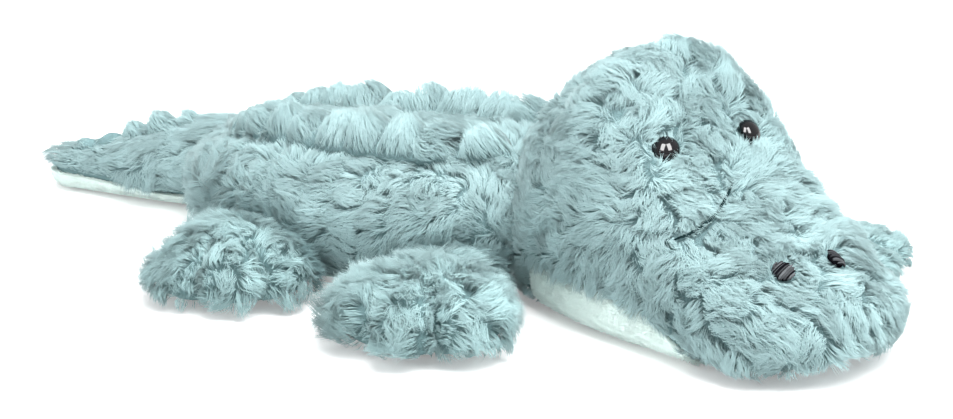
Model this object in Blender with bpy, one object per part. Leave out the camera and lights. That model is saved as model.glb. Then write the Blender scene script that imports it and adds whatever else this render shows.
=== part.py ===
"""A plush crocodile, lying bent on its belly with its head turned.

Every fur cover is a shell of cloth and pile with its own stuffing inside.
The head, the tail and the four legs have rounded roots, each a surface of
revolution about an upright axis, seated in hollows of the body that they turn in.
Metres, +Z up, the animal faces -Y and its right side is at -X.
The origin is on the floor, on the flat of the belly.
"""
import math

import bmesh
import bpy
import numpy as np
from mathutils import Matrix, Vector

for old in list(bpy.data.objects):
    bpy.data.objects.remove(old)

# Cloth and fits
COVER_WALL = 0.0040
SEAM_GAP = 0.0003
STUFFING_GAP = 0.0006
TURN_GAP = 0.0008
FLAT_DEPTH = 0.0005
OVERRUN = 0.010

# Body
BODY_LENGTH = 0.197
BODY_WIDTH = 0.128
BODY_HEIGHT = 0.065
BODY_FRONT = -0.092
BODY_END_ROUND = 0.014
BELLY_SEAM_HEIGHT = 0.0075

# Head, measured from the upright axis of the neck
NECK_ACROSS = 0.031
NECK_ALONG = -0.1125
HEAD_WIDTH = 0.119
HEAD_HEIGHT = 0.113
HEAD_REACH = 0.139
HEAD_TURN = math.radians(-18.5)
NECK_OPENING_RADIUS = 0.017

# Eyes
EYE_DIAMETER = 0.0120
EYE_DOME = 0.0048
EYE_RIM = 0.0010
EYE_SINK = 0.0012
EYE_FORWARD = 0.044
EYE_SPREAD = 0.045
SHANK_DIAMETER = 0.0040
WASHER_DIAMETER = 0.0130
WASHER_THICKNESS = 0.0016
SHANK_TAIL = 0.0020

# Nostrils
NOSTRIL_WIDTH = 0.0085
NOSTRIL_HEIGHT = 0.0100
NOSTRIL_THICKNESS = 0.0018
NOSTRIL_SINK = 0.0008
NOSTRIL_FORWARD = 0.1110
NOSTRIL_SPREAD = 0.0266

# Tail
TAIL_ROOT_ACROSS = 0.008
TAIL_ROOT_ALONG = 0.108
TAIL_LENGTH = 0.097
TAIL_WIDTH = 0.063
TAIL_HEIGHT = 0.041
TAIL_TURN = math.radians(20.0)
TAIL_SEAM_HEIGHT = 0.0095

# Legs
LEG_REACH = 0.047
FOOT_LENGTH = 0.031
LEG_ROOT_WIDTH = 0.040
LEG_ROOT_HEIGHT = 0.027
FOOT_WIDTH = 0.073
LEG_OPENING_RADIUS = 0.008

# Padded ridges along the back and tail
RIDGE_WIDTH = 0.030
RIDGE_RISE = 0.0045
RIDGE_TUFT = 0.0040
RIDGE_DEPTH = 0.010
RIDGE_SINK = 0.003
RIDGE_SPREAD = 0.052
RIDGE_TUFTS = 11
RIDGE_FROM_SHARE = 0.120
RIDGE_TO_SHARE = 0.965
TAIL_RIDGE_WIDTH = 0.017
TAIL_RIDGE_RISE = 0.0020
TAIL_RIDGE_TUFT = 0.0035
TAIL_RIDGE_TUFTS = 5

# How the two back ridges draw together toward the tail, shares of: length, spread
RIDGE_PATH_SHARES = ((0.00, 1.00), (0.45, 1.00), (0.75, 0.72), (1.00, 0.34))

# Where the last ring of a rounded end stands, as a share of the way to its tip
TIP_RING_SHARE = 0.999

# Where each leg is rooted and how it lies: name, across as a share of the body's
# width, along from its front as a share of its length, heading in degrees from +X,
# and reach and height as shares; the left front leg lies stretched out and low beside
# the snout
LEG_PLACE_SHARES = (
    ("front_leg_right", -0.320, 0.130, 200.0, 0.97, 1.00),
    ("front_leg_left", 0.848, 0.0203, -98.0, 1.80, 0.64),
    ("rear_leg_right", -0.400, 0.713, 218.0, 1.00, 1.00),
    ("rear_leg_left", 0.344, 0.741, -38.0, 1.00, 1.00),
)

# Body outline from nose to tail root, shares of: length, then across of the
# length, half width of the half width, top and middle of the height
BODY_SHARES = (
    (0.000, 0.235, 0.930, 0.923, 0.385),
    (0.071, 0.195, 0.960, 0.923, 0.385),
    (0.152, 0.125, 0.990, 0.954, 0.385),
    (0.254, 0.045, 1.000, 0.985, 0.400),
    (0.365, -0.005, 1.000, 1.000, 0.415),
    (0.492, -0.046, 0.985, 1.000, 0.415),
    (0.619, -0.056, 0.940, 0.969, 0.415),
    (0.746, -0.041, 0.845, 0.908, 0.400),
    (0.848, -0.015, 0.735, 0.815, 0.370),
    (0.934, 0.015, 0.640, 0.725, 0.330),
    (1.000, 0.038, 0.565, 0.655, 0.300),
)
BODY_TOP_SQUARE = 2.2
BODY_LOW_SQUARE = 3.0

# Head outline ahead of the neck axis, shares of: reach, then half width of the
# half width, top and middle of the height, and its upper and lower squareness
HEAD_SHARES = (
    (0.000, 1.000, 0.960, 0.280, 2.0, 6.0),
    (0.080, 1.000, 0.995, 0.270, 2.0, 6.5),
    (0.160, 0.995, 0.965, 0.260, 2.1, 6.5),
    (0.230, 0.980, 0.860, 0.250, 2.3, 6.5),
    (0.300, 0.955, 0.735, 0.240, 2.5, 6.5),
    (0.380, 0.925, 0.640, 0.230, 2.6, 6.5),
    (0.470, 0.885, 0.570, 0.220, 2.6, 6.0),
    (0.570, 0.835, 0.505, 0.210, 2.5, 5.5),
    (0.670, 0.795, 0.450, 0.200, 2.4, 5.0),
    (0.780, 0.770, 0.395, 0.190, 2.3, 4.0),
    (1.000, 0.740, 0.310, 0.170, 2.3, 3.5),
)
CROWN_BACK_SQUARE = 1.75
SNOUT_ROUND_SHARE = 0.270

# Chin seam from back to front, shares of reach and of height
CHIN_SEAM_SHARES = (
    (-0.50, 0.190),
    (-0.05, 0.195),
    (0.30, 0.205),
    (0.50, 0.165),
    (0.64, 0.075),
)

# Tail outline behind its root, shares of: length, half width, top, middle
TAIL_SHARES = (
    (0.00, 1.00, 1.00, 0.46),
    (0.20, 0.92, 0.93, 0.43),
    (0.40, 0.78, 0.81, 0.39),
    (0.60, 0.62, 0.68, 0.34),
    (0.80, 0.46, 0.56, 0.29),
    (1.00, 0.36, 0.48, 0.26),
)
TAIL_TIP_SHARE = 0.86

# Leg outline from its root to its foot's middle, shares of: reach, the way from
# the root's half width to the foot's, top and middle of the height
LEG_SHARES = (
    (0.00, 0.00, 1.00, 0.481),
    (0.35, 0.20, 1.05, 0.481),
    (0.70, 0.74, 1.18, 0.500),
    (1.00, 1.00, 1.26, 0.520),
)
LIMB_LOW_SQUARE = 2.6

# How much wider each hollow is on its open side, where the limb swings out of it
HEAD_SPREAD_SHARE = 0.06
TAIL_SPREAD_SHARE = 0.12
LEG_FLARE_SHARE = 0.20

# Toes: half angle between the clefts round the foot, their half angle and depth share
TOE_CLEFT_ANGLE = math.radians(27)
TOE_CLEFT_SPAN = math.radians(9)
TOE_CLEFT_SHARE = 0.17

HEAD_MID = HEAD_HEIGHT * HEAD_SHARES[0][3]
TAIL_MID = TAIL_HEIGHT * TAIL_SHARES[0][3]
LEG_MID = LEG_ROOT_HEIGHT * LEG_SHARES[0][3]

FUR_TEAL = (0.290, 0.430, 0.435, 1.0)
FUR_FOOT = (0.262, 0.435, 0.435, 1.0)
CLOTH_MINT = (0.480, 0.640, 0.600, 1.0)
FIBRE_WHITE = (0.780, 0.780, 0.760, 1.0)
EYE_BLACK = (0.008, 0.008, 0.009, 1.0)
THREAD_BLACK = (0.030, 0.030, 0.036, 1.0)
WASHER_WHITE = (0.700, 0.700, 0.680, 1.0)


def material(name, colour, roughness):
    """A plain Principled material."""
    made = bpy.data.materials.new(name)
    made.use_nodes = True
    shader = made.node_tree.nodes["Principled BSDF"]
    shader.inputs["Base Color"].default_value = colour
    shader.inputs["Roughness"].default_value = roughness
    shader.inputs["Metallic"].default_value = 0.0
    return made


def smooth(at, places, values):
    """Cubic curve through values at places, its slopes taken from the neighbours."""
    places = np.asarray(places, dtype=float)
    values = np.asarray(values, dtype=float)
    slopes = np.gradient(values, places)
    at = np.clip(at, places[0], places[-1])
    cell = np.clip(np.searchsorted(places, at) - 1, 0, len(places) - 2)
    width = places[cell + 1] - places[cell]
    part = (at - places[cell]) / width
    rest = 1 - part
    start = values[cell] * (1 + 2 * part) * rest ** 2 + slopes[cell] * width * part * rest ** 2
    end = values[cell + 1] * (3 - 2 * part) * part ** 2
    return start + end - slopes[cell + 1] * width * rest * part ** 2


def column(table, number):
    """One column of a table of shares."""
    return [row[number] for row in table]


def rounding(beyond, reach, power):
    """1 until a form's end begins, then down to 0 at its tip as a superellipse."""
    part = np.clip(beyond / reach, 0, 1)
    return (1 - part ** power) ** (1 / power)


class Form:
    """A swelling soft form: rings in upright planes along its own length."""

    def __init__(self, along, across, half, top, mid, bottom, square_top, square_low):
        self.along = np.asarray(along, dtype=float)
        self.across = np.zeros(len(self.along)) + across
        self.half = np.zeros(len(self.along)) + half
        self.top = np.zeros(len(self.along)) + top
        self.mid = np.zeros(len(self.along)) + mid
        self.bottom = np.zeros(len(self.along)) + bottom
        self.square_top = np.zeros(len(self.along)) + square_top
        self.square_low = np.zeros(len(self.along)) + square_low

    def grown(self, depth):
        """The form with its skin moved out by depth, or in where depth is negative."""
        step = np.sign(self.along[-1] - self.along[0]) * depth
        along = self.along.copy()
        along[0] -= step
        along[-1] += step
        half = self.half + depth
        kept = (half > -depth) & (self.top + depth > self.mid - depth)
        kept &= self.mid > self.bottom - 2 * depth
        return Form(along[kept], self.across[kept], half[kept], (self.top + depth)[kept],
                    self.mid[kept], (self.bottom - depth)[kept], self.square_top[kept], self.square_low[kept])

    def thinned(self, step):
        """The same form with only every so many rings, its end rings kept."""
        return self.kept(np.unique(np.append(np.arange(0, len(self.along), step), len(self.along) - 1)))

    def kept(self, kept):
        """The same form with only the rings of these numbers."""
        return Form(self.along[kept], self.across[kept], self.half[kept], self.top[kept],
                    self.mid[kept], self.bottom[kept], self.square_top[kept], self.square_low[kept])

    def points(self, sides, low=0, high=None):
        """Ring points as an array of rings, sides and coordinates, flat at the low limit.
        With a high limit only the skin below it is kept, and the form is flat there."""
        if high is None:
            angle = (2 * math.pi * np.arange(sides) / sides)[None, :]
        else:
            depth = np.clip((self.mid - high) / (self.mid - self.bottom), 0, 0.98)
            edge = np.arcsin(depth ** (self.square_low / 2))[:, None]
            angle = -edge - (math.pi - 2 * edge) * np.linspace(0, 1, sides)[None, :]
        cosine = np.cos(angle)
        sine = np.sin(angle)
        power = 2 / np.where(sine > 0, self.square_top[:, None], self.square_low[:, None])
        across = self.across[:, None] + self.half[:, None] * np.sign(cosine) * abs(cosine) ** power
        rise = np.where(sine > 0, (self.top - self.mid)[:, None], (self.mid - self.bottom)[:, None])
        height = np.maximum(self.mid[:, None] + rise * np.sign(sine) * abs(sine) ** power, np.reshape(low, (-1, 1)))
        along = np.repeat(self.along[:, None], sides, axis=1)
        return np.stack([across, along, height], axis=2)

    def height_at(self, along, share):
        """Height of the upper skin at a place along, share of the way out to the side."""
        order = np.argsort(self.along)
        values = [np.interp(along, self.along[order], line[order])
                  for line in (self.top, self.mid, self.square_top)]
        return values[1] + (values[0] - values[1]) * (1 - share ** values[2]) ** (1 / values[2])


def mesh_object(name, points, faces, finish, parent):
    """A closed mesh of triangles turned outward, split alike on forms that lie in each other."""
    mesh = bpy.data.meshes.new(name)
    mesh.from_pydata(points.tolist(), [], faces)
    shaped = bmesh.new()
    shaped.from_mesh(mesh)
    bmesh.ops.triangulate(shaped, faces=shaped.faces, quad_method='FIXED')
    bmesh.ops.recalc_face_normals(shaped, faces=shaped.faces)
    if shaped.calc_volume(signed=True) < 0:
        bmesh.ops.reverse_faces(shaped, faces=shaped.faces)
    shaped.to_mesh(mesh)
    shaped.free()
    mesh.shade_smooth()
    mesh.materials.append(finish)
    made = bpy.data.objects.new(name, mesh)
    bpy.context.scene.collection.objects.link(made)
    made.parent = parent
    return made


def skin_object(name, rings, tips, finish, parent):
    """A closed mesh over rings of points, with one tip point closing each end."""
    count, sides = rings.shape[0], rings.shape[1]
    points = np.concatenate([rings.reshape(-1, 3), np.asarray(tips, dtype=float)])
    first = np.arange(count - 1)[:, None] * sides
    side = np.arange(sides)[None, :]
    following = (side + 1) % sides
    quads = np.stack([first + side, first + following, first + sides + following, first + sides + side], axis=2)
    faces = [tuple(quad) for quad in quads.reshape(-1, 4).tolist()]
    head_tip = count * sides
    last = (count - 1) * sides
    for number in range(sides):
        after = (number + 1) % sides
        faces.append((head_tip, after, number))
        faces.append((head_tip + 1, last + number, last + after))
    return mesh_object(name, points, faces, finish, parent)


def form_object(name, form, sides, finish, parent=None, low=0, high=None):
    """A closed mesh over a form, flat at the low and high limits."""
    if high is not None:
        high = high + 0 * form.along
        reached = np.flatnonzero(form.mid - high < 0.95 * (form.mid - form.bottom))
        form = form.kept(reached)
        high = high[reached]
    rings = form.points(sides, low, high)
    tips = [np.mean(ring, axis=0) for ring in (rings[0], rings[-1])]
    return skin_object(name, rings, tips, finish, parent)


def turned_object(name, profile, sides, finish, parent, place, stretch=1.0):
    """A turned piece: profile points of radius and height, about the axis of place."""
    angle = 2 * math.pi * np.arange(sides) / sides
    profile = np.asarray(profile, dtype=float)
    rings = np.stack([profile[:, 0, None] * np.cos(angle) * stretch,
                      profile[:, 0, None] * np.sin(angle),
                      np.repeat(profile[:, 1, None], sides, axis=1)], axis=2)
    tips = [(0, 0, profile[0, 1]), (0, 0, profile[-1, 1])]
    made = skin_object(name, rings, tips, finish, parent)
    made.matrix_local = place
    made.data.set_sharp_from_angle(angle=math.radians(40))
    return made


def as_cutter(made):
    """Mark an object as a tool shape that isn't part of the toy."""
    made.hide_render = True
    made.display_type = 'WIRE'
    return made


def carve(target, cutters, solver='EXACT'):
    """Cut the part of the target inside each cutter away."""
    for cutter in cutters:
        step = target.modifiers.new(cutter.name, 'BOOLEAN')
        step.operation = 'DIFFERENCE'
        step.solver = solver
        step.object = cutter


def frame_empty(name, across, along, turn):
    """An upright axis on the floor that the pieces of one limb hang from."""
    made = bpy.data.objects.new(name, None)
    bpy.context.scene.collection.objects.link(made)
    made.location = (across, along, 0)
    made.rotation_euler = (0, 0, turn)
    return made


def rod_cutter(name, radius, start, end, parent, sides=20):
    """A round rod between two points."""
    start = Vector(start)
    end = Vector(end)
    place = Matrix.Translation(start) @ (end - start).to_track_quat('Z', 'Y').to_matrix().to_4x4()
    profile = [(radius, 0), (radius, (end - start).length)]
    return as_cutter(turned_object(name, profile, sides, bare, parent, place))


bare = material("bare", FIBRE_WHITE, 0.9)
fur_teal = material("fur_teal", FUR_TEAL, 0.95)
fur_foot = material("fur_foot", FUR_FOOT, 0.95)
cloth_mint = material("cloth_mint", CLOTH_MINT, 0.9)
fibre_white = material("fibre_white", FIBRE_WHITE, 0.95)
eye_black = material("eye_black", EYE_BLACK, 0.08)
thread_black = material("thread_black", THREAD_BLACK, 0.8)
washer_white = material("washer_white", WASHER_WHITE, 0.5)


# Forms

LIMB_COUNTS = (4, 5, 11)
LIMB_ANGLES = (64, 40, 18, 0, -30, -62)
PLAIN_COUNTS = (3, 4, 6)
PLAIN_ANGLES = (50, 0, -50)


def body_form():
    """The body, from its nose under the head to the tail's root."""
    rounded = BODY_FRONT + BODY_END_ROUND * (1 - np.cos(np.linspace(0, 0.5 * math.pi, 5)[1:]))
    straight = np.linspace(BODY_FRONT + BODY_END_ROUND, BODY_FRONT + BODY_LENGTH, 19)[1:]
    along = np.concatenate([rounded, straight])
    place = (along - BODY_FRONT) / BODY_LENGTH
    places = column(BODY_SHARES, 0)
    end = rounding(BODY_FRONT + BODY_END_ROUND - along, BODY_END_ROUND, 2)
    across = BODY_LENGTH * smooth(place, places, column(BODY_SHARES, 1))
    half = BODY_WIDTH / 2 * smooth(place, places, column(BODY_SHARES, 2))
    top = BODY_HEIGHT * smooth(place, places, column(BODY_SHARES, 3))
    mid = BODY_HEIGHT * smooth(place, places, column(BODY_SHARES, 4))
    return Form(along, across, half * (0.7 + 0.3 * end), mid + (top - mid) * (0.4 + 0.6 * end), mid,
                mid - (mid + FLAT_DEPTH) * (0.6 + 0.4 * end), BODY_TOP_SQUARE, BODY_LOW_SQUARE)


def head_form():
    """The head: a half ball of revolution behind the neck axis, then crown, brow and snout."""
    radius = HEAD_WIDTH / 2
    behind = radius * np.cos(np.linspace(0, 0.5 * math.pi, 8))[:-1]
    behind[0] = radius * TIP_RING_SHARE
    tip_start = HEAD_REACH * (1 - SNOUT_ROUND_SHARE)
    ahead = np.linspace(0, tip_start, 12)
    snout = tip_start + (HEAD_REACH - tip_start) * np.sin(np.linspace(0, 0.5 * math.pi, 7))[1:]
    snout[-1] = HEAD_REACH * TIP_RING_SHARE
    place = np.concatenate([-behind, ahead, snout])
    share = np.clip(place / HEAD_REACH, 0, 1)
    places = column(HEAD_SHARES, 0)
    ball = rounding(-place, radius, 2)
    crown = rounding(-place, radius, CROWN_BACK_SQUARE)
    low = rounding(-place, radius, 4)
    end = rounding(place - tip_start, HEAD_REACH - tip_start, 2.3)
    half = radius * smooth(share, places, column(HEAD_SHARES, 1)) * ball * end
    mid = HEAD_HEIGHT * smooth(share, places, column(HEAD_SHARES, 3))
    top = mid + (HEAD_HEIGHT * smooth(share, places, column(HEAD_SHARES, 2)) - mid) * crown * end
    bottom = mid - (mid + FLAT_DEPTH) * low * end
    square_top = smooth(share, places, column(HEAD_SHARES, 4)) * (place >= 0) + CROWN_BACK_SQUARE * (place < 0)
    square_low = smooth(share, places, column(HEAD_SHARES, 5))
    return Form(-place, 0, half, top, mid, bottom, square_top, square_low)


def root_ball(name, radius, top, mid, parent, forward, spread_share):
    """The room a root turns in: a half spheroid about the upright axis over a straight
    well, wider on its open side, where the limb swings out of it."""
    sides = 32
    steps = 7
    step = 0.5 * math.pi / steps
    radius = (radius + TURN_GAP) / math.cos(math.pi / sides)
    rise = (top - mid + TURN_GAP) / math.cos(0.5 * step)
    upper = 0.5 * math.pi - step * np.arange(1, steps + 1)
    profile = [(radius * math.cos(a) / math.cos(0.5 * step), mid + rise * math.sin(a)) for a in upper]
    profile = np.array(profile + [(profile[-1][0], -radius)])
    angle = 2 * math.pi * (np.arange(sides) + 0.5) / sides
    opened = 1 + spread_share * np.clip((forward * np.sin(angle) + 0.4) / 0.5, 0, 1)
    rings = np.stack([profile[:, 0, None] * np.cos(angle) * opened, profile[:, 0, None] * np.sin(angle) * opened,
                      np.repeat(profile[:, 1, None], sides, axis=1)], axis=2)
    return as_cutter(skin_object(name, rings, [(0, 0, mid + rise), (0, 0, -radius)], bare, parent))


def root_form(radius, length, table, start, width, height, ring_count):
    """A limb: half a ball of revolution at its root, then its outline out to a round tip."""
    behind = radius * np.cos(np.linspace(0, 0.5 * math.pi, 5))[:-1]
    behind[0] = radius * TIP_RING_SHARE
    start = length * start
    ahead = np.linspace(0, start, ring_count)
    tip = start + (length - start) * np.sin(np.linspace(0, 0.5 * math.pi, 6))[1:]
    tip[-1] = length * TIP_RING_SHARE
    place = np.concatenate([-behind, ahead, tip])
    share = np.clip(place / length, 0, 1)
    places = column(table, 0)
    ball = np.sqrt(1 - np.clip(-place / radius, 0, 1) ** 2)
    end = rounding(place - start, length - start, 2.4)
    half = width / 2 * smooth(share, places, column(table, 1)) * ball * end
    mid = height * smooth(share, places, column(table, 3))
    top = mid + (height * smooth(share, places, column(table, 2)) - mid) * ball * end
    bottom = mid - (mid + FLAT_DEPTH) * ball * end
    return Form(place, 0, half, top, mid, bottom, 2, 2 + (LIMB_LOW_SQUARE - 2) * np.clip(share / 0.3, 0, 1))


def limb_object(name, size, inset, counts, angles, finish, parent, well=False):
    """A leg and foot as caps swept along its middle line: a ball of revolution at the
    root, sides that widen, and a round foot whose rim is drawn in between three toes.
    A well is the room it swings in: it flares from the root and has upright sides below."""
    reach, thickness = size
    width = FOOT_WIDTH / 2 - inset
    root = LEG_ROOT_WIDTH / 2 - inset
    cap = np.radians(np.linspace(180, 90, counts[0]))[:-1]
    shank = np.linspace(0, 1, counts[1])[:-1]
    toes = np.radians(np.linspace(90, 0, counts[2]))
    places = column(LEG_SHARES, 0)
    cleft = 1 - TOE_CLEFT_SHARE * (not well) * np.exp(-((toes - TOE_CLEFT_ANGLE) / TOE_CLEFT_SPAN) ** 2)
    widened = root + (width - root) * smooth(shank, places, column(LEG_SHARES, 1))
    side = np.concatenate([root * np.sin(cap), widened, width * np.sin(toes) * cleft])
    spine = np.concatenate([cap * 0, reach * shank, reach + toes * 0])
    ahead = np.concatenate([root * np.cos(cap), shank * 0, (FOOT_LENGTH - inset) * np.cos(toes) * cleft])
    side += LEG_FLARE_SHARE * well * spine * np.sign(side)
    right = np.stack([side, spine, ahead], axis=1)
    left = right[-2:0:-1] * (-1, 1, 1)
    side, spine, ahead = np.concatenate([right, left]).T
    along = spine / reach
    top = thickness * smooth(along, places, column(LEG_SHARES, 2)) - inset
    mid = thickness * smooth(along, places, column(LEG_SHARES, 3))
    low = -LEG_ROOT_WIDTH if well else inset - FLAT_DEPTH
    floor = low if well else 0
    square = 2 + (LIMB_LOW_SQUARE - 2) * along
    rings = []
    for angle in np.radians(angles):
        out = math.cos(angle) ** (1 if angle >= 0 else 2 / square)
        rise = abs(math.sin(angle)) ** (1 if angle >= 0 else 2 / square)
        height = mid + (top - mid) * rise if angle >= 0 else mid - (mid - low) * rise
        rings.append(np.stack([side * out, spine + ahead * out, np.maximum(height, floor)], axis=1))
    if well:
        rings.append(np.stack([side, spine + ahead, low + 0 * side], axis=1))
    count = len(side)
    stations, station = np.unique(np.round(along, 9), return_inverse=True)
    first_place = [int(np.argmax(station == k)) for k in range(len(stations))]
    crest = np.stack([0 * stations, reach * stations, top[first_place]], axis=1)
    sole = np.stack([0 * stations, reach * stations, max(low, floor) + 0 * stations], axis=1)
    points = np.concatenate(rings + [crest, sole])
    crest_start = len(rings) * count
    sole_start = crest_start + len(stations)
    faces = []
    for number in range(count):
        after = (number + 1) % count
        for ring in range(len(rings) - 1):
            here = ring * count
            faces.append((here + number, here + count + number, here + count + after, here + after))
        last = (len(rings) - 1) * count
        for row, start, turned in ((0, crest_start, False), (last, sole_start, True)):
            corners = [row + number, row + after, start + int(station[after]), start + int(station[number])]
            if station[number] == station[after]:
                corners = corners[:3]
            faces.append(tuple(corners[::-1]) if turned else tuple(corners))
    return mesh_object(name, points, faces, finish, parent)


# Turning frames

head_frame = frame_empty("head_frame", NECK_ACROSS, NECK_ALONG, HEAD_TURN)
tail_frame = frame_empty("tail_frame", TAIL_ROOT_ACROSS, TAIL_ROOT_ALONG, TAIL_TURN)
leg_frames = {}
for leg_name, across_share, along_share, leg_heading, _, _ in LEG_PLACE_SHARES:
    leg_frames[leg_name] = frame_empty(leg_name + "_frame", BODY_WIDTH * across_share,
                                       BODY_FRONT + BODY_LENGTH * along_share,
                                       math.radians(leg_heading - 90))

# Clearances that the roots turn in

head_ball = root_ball("head_ball", HEAD_WIDTH / 2, HEAD_HEIGHT, HEAD_MID, head_frame,
                      -1, HEAD_SPREAD_SHARE)
tail_ball = root_ball("tail_ball", TAIL_WIDTH / 2, TAIL_HEIGHT, TAIL_MID, tail_frame,
                      1, TAIL_SPREAD_SHARE)
leg_balls = [as_cutter(limb_object(place[0] + "_room", (LEG_REACH * place[4], LEG_ROOT_HEIGHT * place[5]),
                                  -TURN_GAP, (9, 5, 7), (75, 60, 45, 30, 15, 0), bare,
                                  leg_frames[place[0]], True))
             for place in LEG_PLACE_SHARES]
root_balls = [head_ball, tail_ball] + leg_balls

# Body

body = body_form()
body_inner = body.grown(-COVER_WALL).thinned(2)
body_open = Form(np.append(body_inner.along[:-1], TAIL_ROOT_ALONG), body_inner.across, body_inner.half,
                 body_inner.top, body_inner.mid, body_inner.bottom,
                 body_inner.square_top, body_inner.square_low)
body_hollow = as_cutter(form_object("body_hollow", body_open, 16, bare))
body_cover = form_object("body_cover", body, 24, fur_teal, None, BELLY_SEAM_HEIGHT + SEAM_GAP)
carve(body_cover, root_balls + [body_hollow])

belly_panel = form_object("belly_panel", body, 16, cloth_mint, None, 0, BELLY_SEAM_HEIGHT)
carve(belly_panel, root_balls + [body_hollow], 'MANIFOLD')

body_stuffing = form_object("body_stuffing", body_inner.grown(-STUFFING_GAP), 16, fibre_white)
carve(body_stuffing, root_balls, 'MANIFOLD')

# Head

head = head_form()
head_inner = head.grown(-COVER_WALL).thinned(2)
head_hollow = as_cutter(form_object("head_hollow", head_inner, 16, bare, head_frame))
neck_opening = rod_cutter("neck_opening", NECK_OPENING_RADIUS, (0, HEAD_WIDTH, HEAD_MID),
                          (0, 0, HEAD_MID), head_frame)


chin_seam = np.interp(-head.along, HEAD_REACH * np.array(column(CHIN_SEAM_SHARES, 0)),
                      HEAD_HEIGHT * np.array(column(CHIN_SEAM_SHARES, 1)))
chin_rings = np.arange(len(head.along))[-head.along < HEAD_REACH * CHIN_SEAM_SHARES[-1][0]]
head_low = np.zeros(len(head.along))
head_low[chin_rings] = chin_seam[chin_rings] + SEAM_GAP


def on_head(along, across):
    """Place and outward direction of the head's skin at a distance ahead and to the side."""
    reach = 0.002 * HEAD_REACH

    def height(ahead, side):
        rings = np.argsort(head.along)
        half = np.interp(-ahead, head.along[rings], head.half[rings])
        return head.height_at(-ahead, min(abs(side) / half, 1))

    here = height(along, across)
    slope_along = (height(along + reach, across) - height(along - reach, across)) / (2 * reach)
    slope_across = (height(along, across + reach) - height(along, across - reach)) / (2 * reach)
    normal = Vector((-slope_across, slope_along, 1)).normalized()
    return Vector((across, -along, here)), normal


def seat(across, along, sink):
    """Matrix of a button seated on the head's skin, its +Z pointing out."""
    point, normal = on_head(along, across)
    turn = normal.to_track_quat('Z', 'Y').to_matrix().to_4x4()
    return Matrix.Translation(point - normal * sink) @ turn


def dome_profile():
    """Eye from its dome's top to the end of its shank."""
    angle = np.linspace(0.5 * math.pi, 0, 7)[1:]
    dome = [(EYE_DIAMETER / 2 * math.cos(a), EYE_RIM + EYE_DOME * math.sin(a)) for a in angle]
    shank = SHANK_DIAMETER / 2
    length = COVER_WALL + WASHER_THICKNESS + SHANK_TAIL
    return dome + [(EYE_DIAMETER / 2, 0), (shank, 0), (shank, -length)]


def washer_profile(shank_gap):
    """Washer as one loop of its section, from its bore out and back."""
    top = -COVER_WALL
    outer = WASHER_DIAMETER / 2
    inner = SHANK_DIAMETER / 2 + shank_gap
    return [(inner, top), (outer, top), (outer, top - WASHER_THICKNESS), (inner, top - WASHER_THICKNESS)]


def ring_object(name, profile, sides, finish, parent, place):
    """A turned ring: a closed section of radius and height about the axis of place."""
    shaped = bmesh.new()
    section = [shaped.verts.new((radius, 0, height)) for radius, height in profile]
    edges = [shaped.edges.new((section[i], section[(i + 1) % len(section)])) for i in range(len(section))]
    bmesh.ops.spin(shaped, geom=section + edges, cent=(0, 0, 0), axis=(0, 0, 1),
                   angle=2 * math.pi, steps=sides, use_merge=True)
    bmesh.ops.remove_doubles(shaped, verts=shaped.verts, dist=0.05 * SEAM_GAP)
    bmesh.ops.recalc_face_normals(shaped, faces=shaped.faces)
    mesh = bpy.data.meshes.new(name)
    shaped.to_mesh(mesh)
    shaped.free()
    mesh.shade_smooth()
    mesh.set_sharp_from_angle(angle=math.radians(40))
    mesh.materials.append(finish)
    made = bpy.data.objects.new(name, mesh)
    bpy.context.scene.collection.objects.link(made)
    made.parent = parent
    made.matrix_local = place
    return made


head_cuts = []
stuffing_cuts = []
for side_name, side in (("right", -1), ("left", 1)):
    eye_place = seat(side * EYE_SPREAD / 2, EYE_FORWARD, EYE_SINK)
    turned_object("eye_" + side_name, dome_profile(), 18, eye_black, head_frame, eye_place)
    ring_object("eye_washer_" + side_name, washer_profile(SEAM_GAP), 16, washer_white, head_frame, eye_place)
    wide = WASHER_DIAMETER / 2 + STUFFING_GAP
    deep = COVER_WALL + WASHER_THICKNESS + SHANK_TAIL + STUFFING_GAP
    bore = SHANK_DIAMETER / 2 + SEAM_GAP
    pocket = [(EYE_DIAMETER / 2 + SEAM_GAP, OVERRUN), (EYE_DIAMETER / 2 + SEAM_GAP, -SEAM_GAP),
              (bore, -SEAM_GAP), (bore, SEAM_GAP - COVER_WALL), (wide, SEAM_GAP - COVER_WALL), (wide, -deep)]
    head_cuts.append(as_cutter(turned_object("eye_pocket_" + side_name, pocket, 20, bare,
                                             head_frame, eye_place)))
    room = [(wide, OVERRUN), (wide, -deep)]
    stuffing_cuts.append(as_cutter(turned_object("washer_room_" + side_name, room, 16, bare,
                                                 head_frame, eye_place)))
    nostril_place = seat(side * NOSTRIL_SPREAD / 2, NOSTRIL_FORWARD, NOSTRIL_SINK)
    oval = NOSTRIL_WIDTH / NOSTRIL_HEIGHT
    pad = [(0.55 * NOSTRIL_HEIGHT / 2, NOSTRIL_THICKNESS), (0.85 * NOSTRIL_HEIGHT / 2, 0.8 * NOSTRIL_THICKNESS),
           (NOSTRIL_HEIGHT / 2, 0.45 * NOSTRIL_THICKNESS), (NOSTRIL_HEIGHT / 2, 0)]
    turned_object("nostril_" + side_name, pad, 20, thread_black, head_frame, nostril_place, oval)
    bed = [(NOSTRIL_HEIGHT / 2 + SEAM_GAP, -SEAM_GAP), (NOSTRIL_HEIGHT / 2 + SEAM_GAP, OVERRUN)]
    head_cuts.append(as_cutter(turned_object("nostril_bed_" + side_name, bed, 20, bare,
                                             head_frame, nostril_place, oval)))

head_cover = form_object("head_cover", head, 28, fur_teal, head_frame, head_low)
carve(head_cover, [head_hollow, neck_opening] + head_cuts)

chin = head.kept(chin_rings)
chin_panel = form_object("chin_panel", chin, 18, cloth_mint, head_frame, 0, chin_seam[chin_rings])
carve(chin_panel, [head_hollow])

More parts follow.
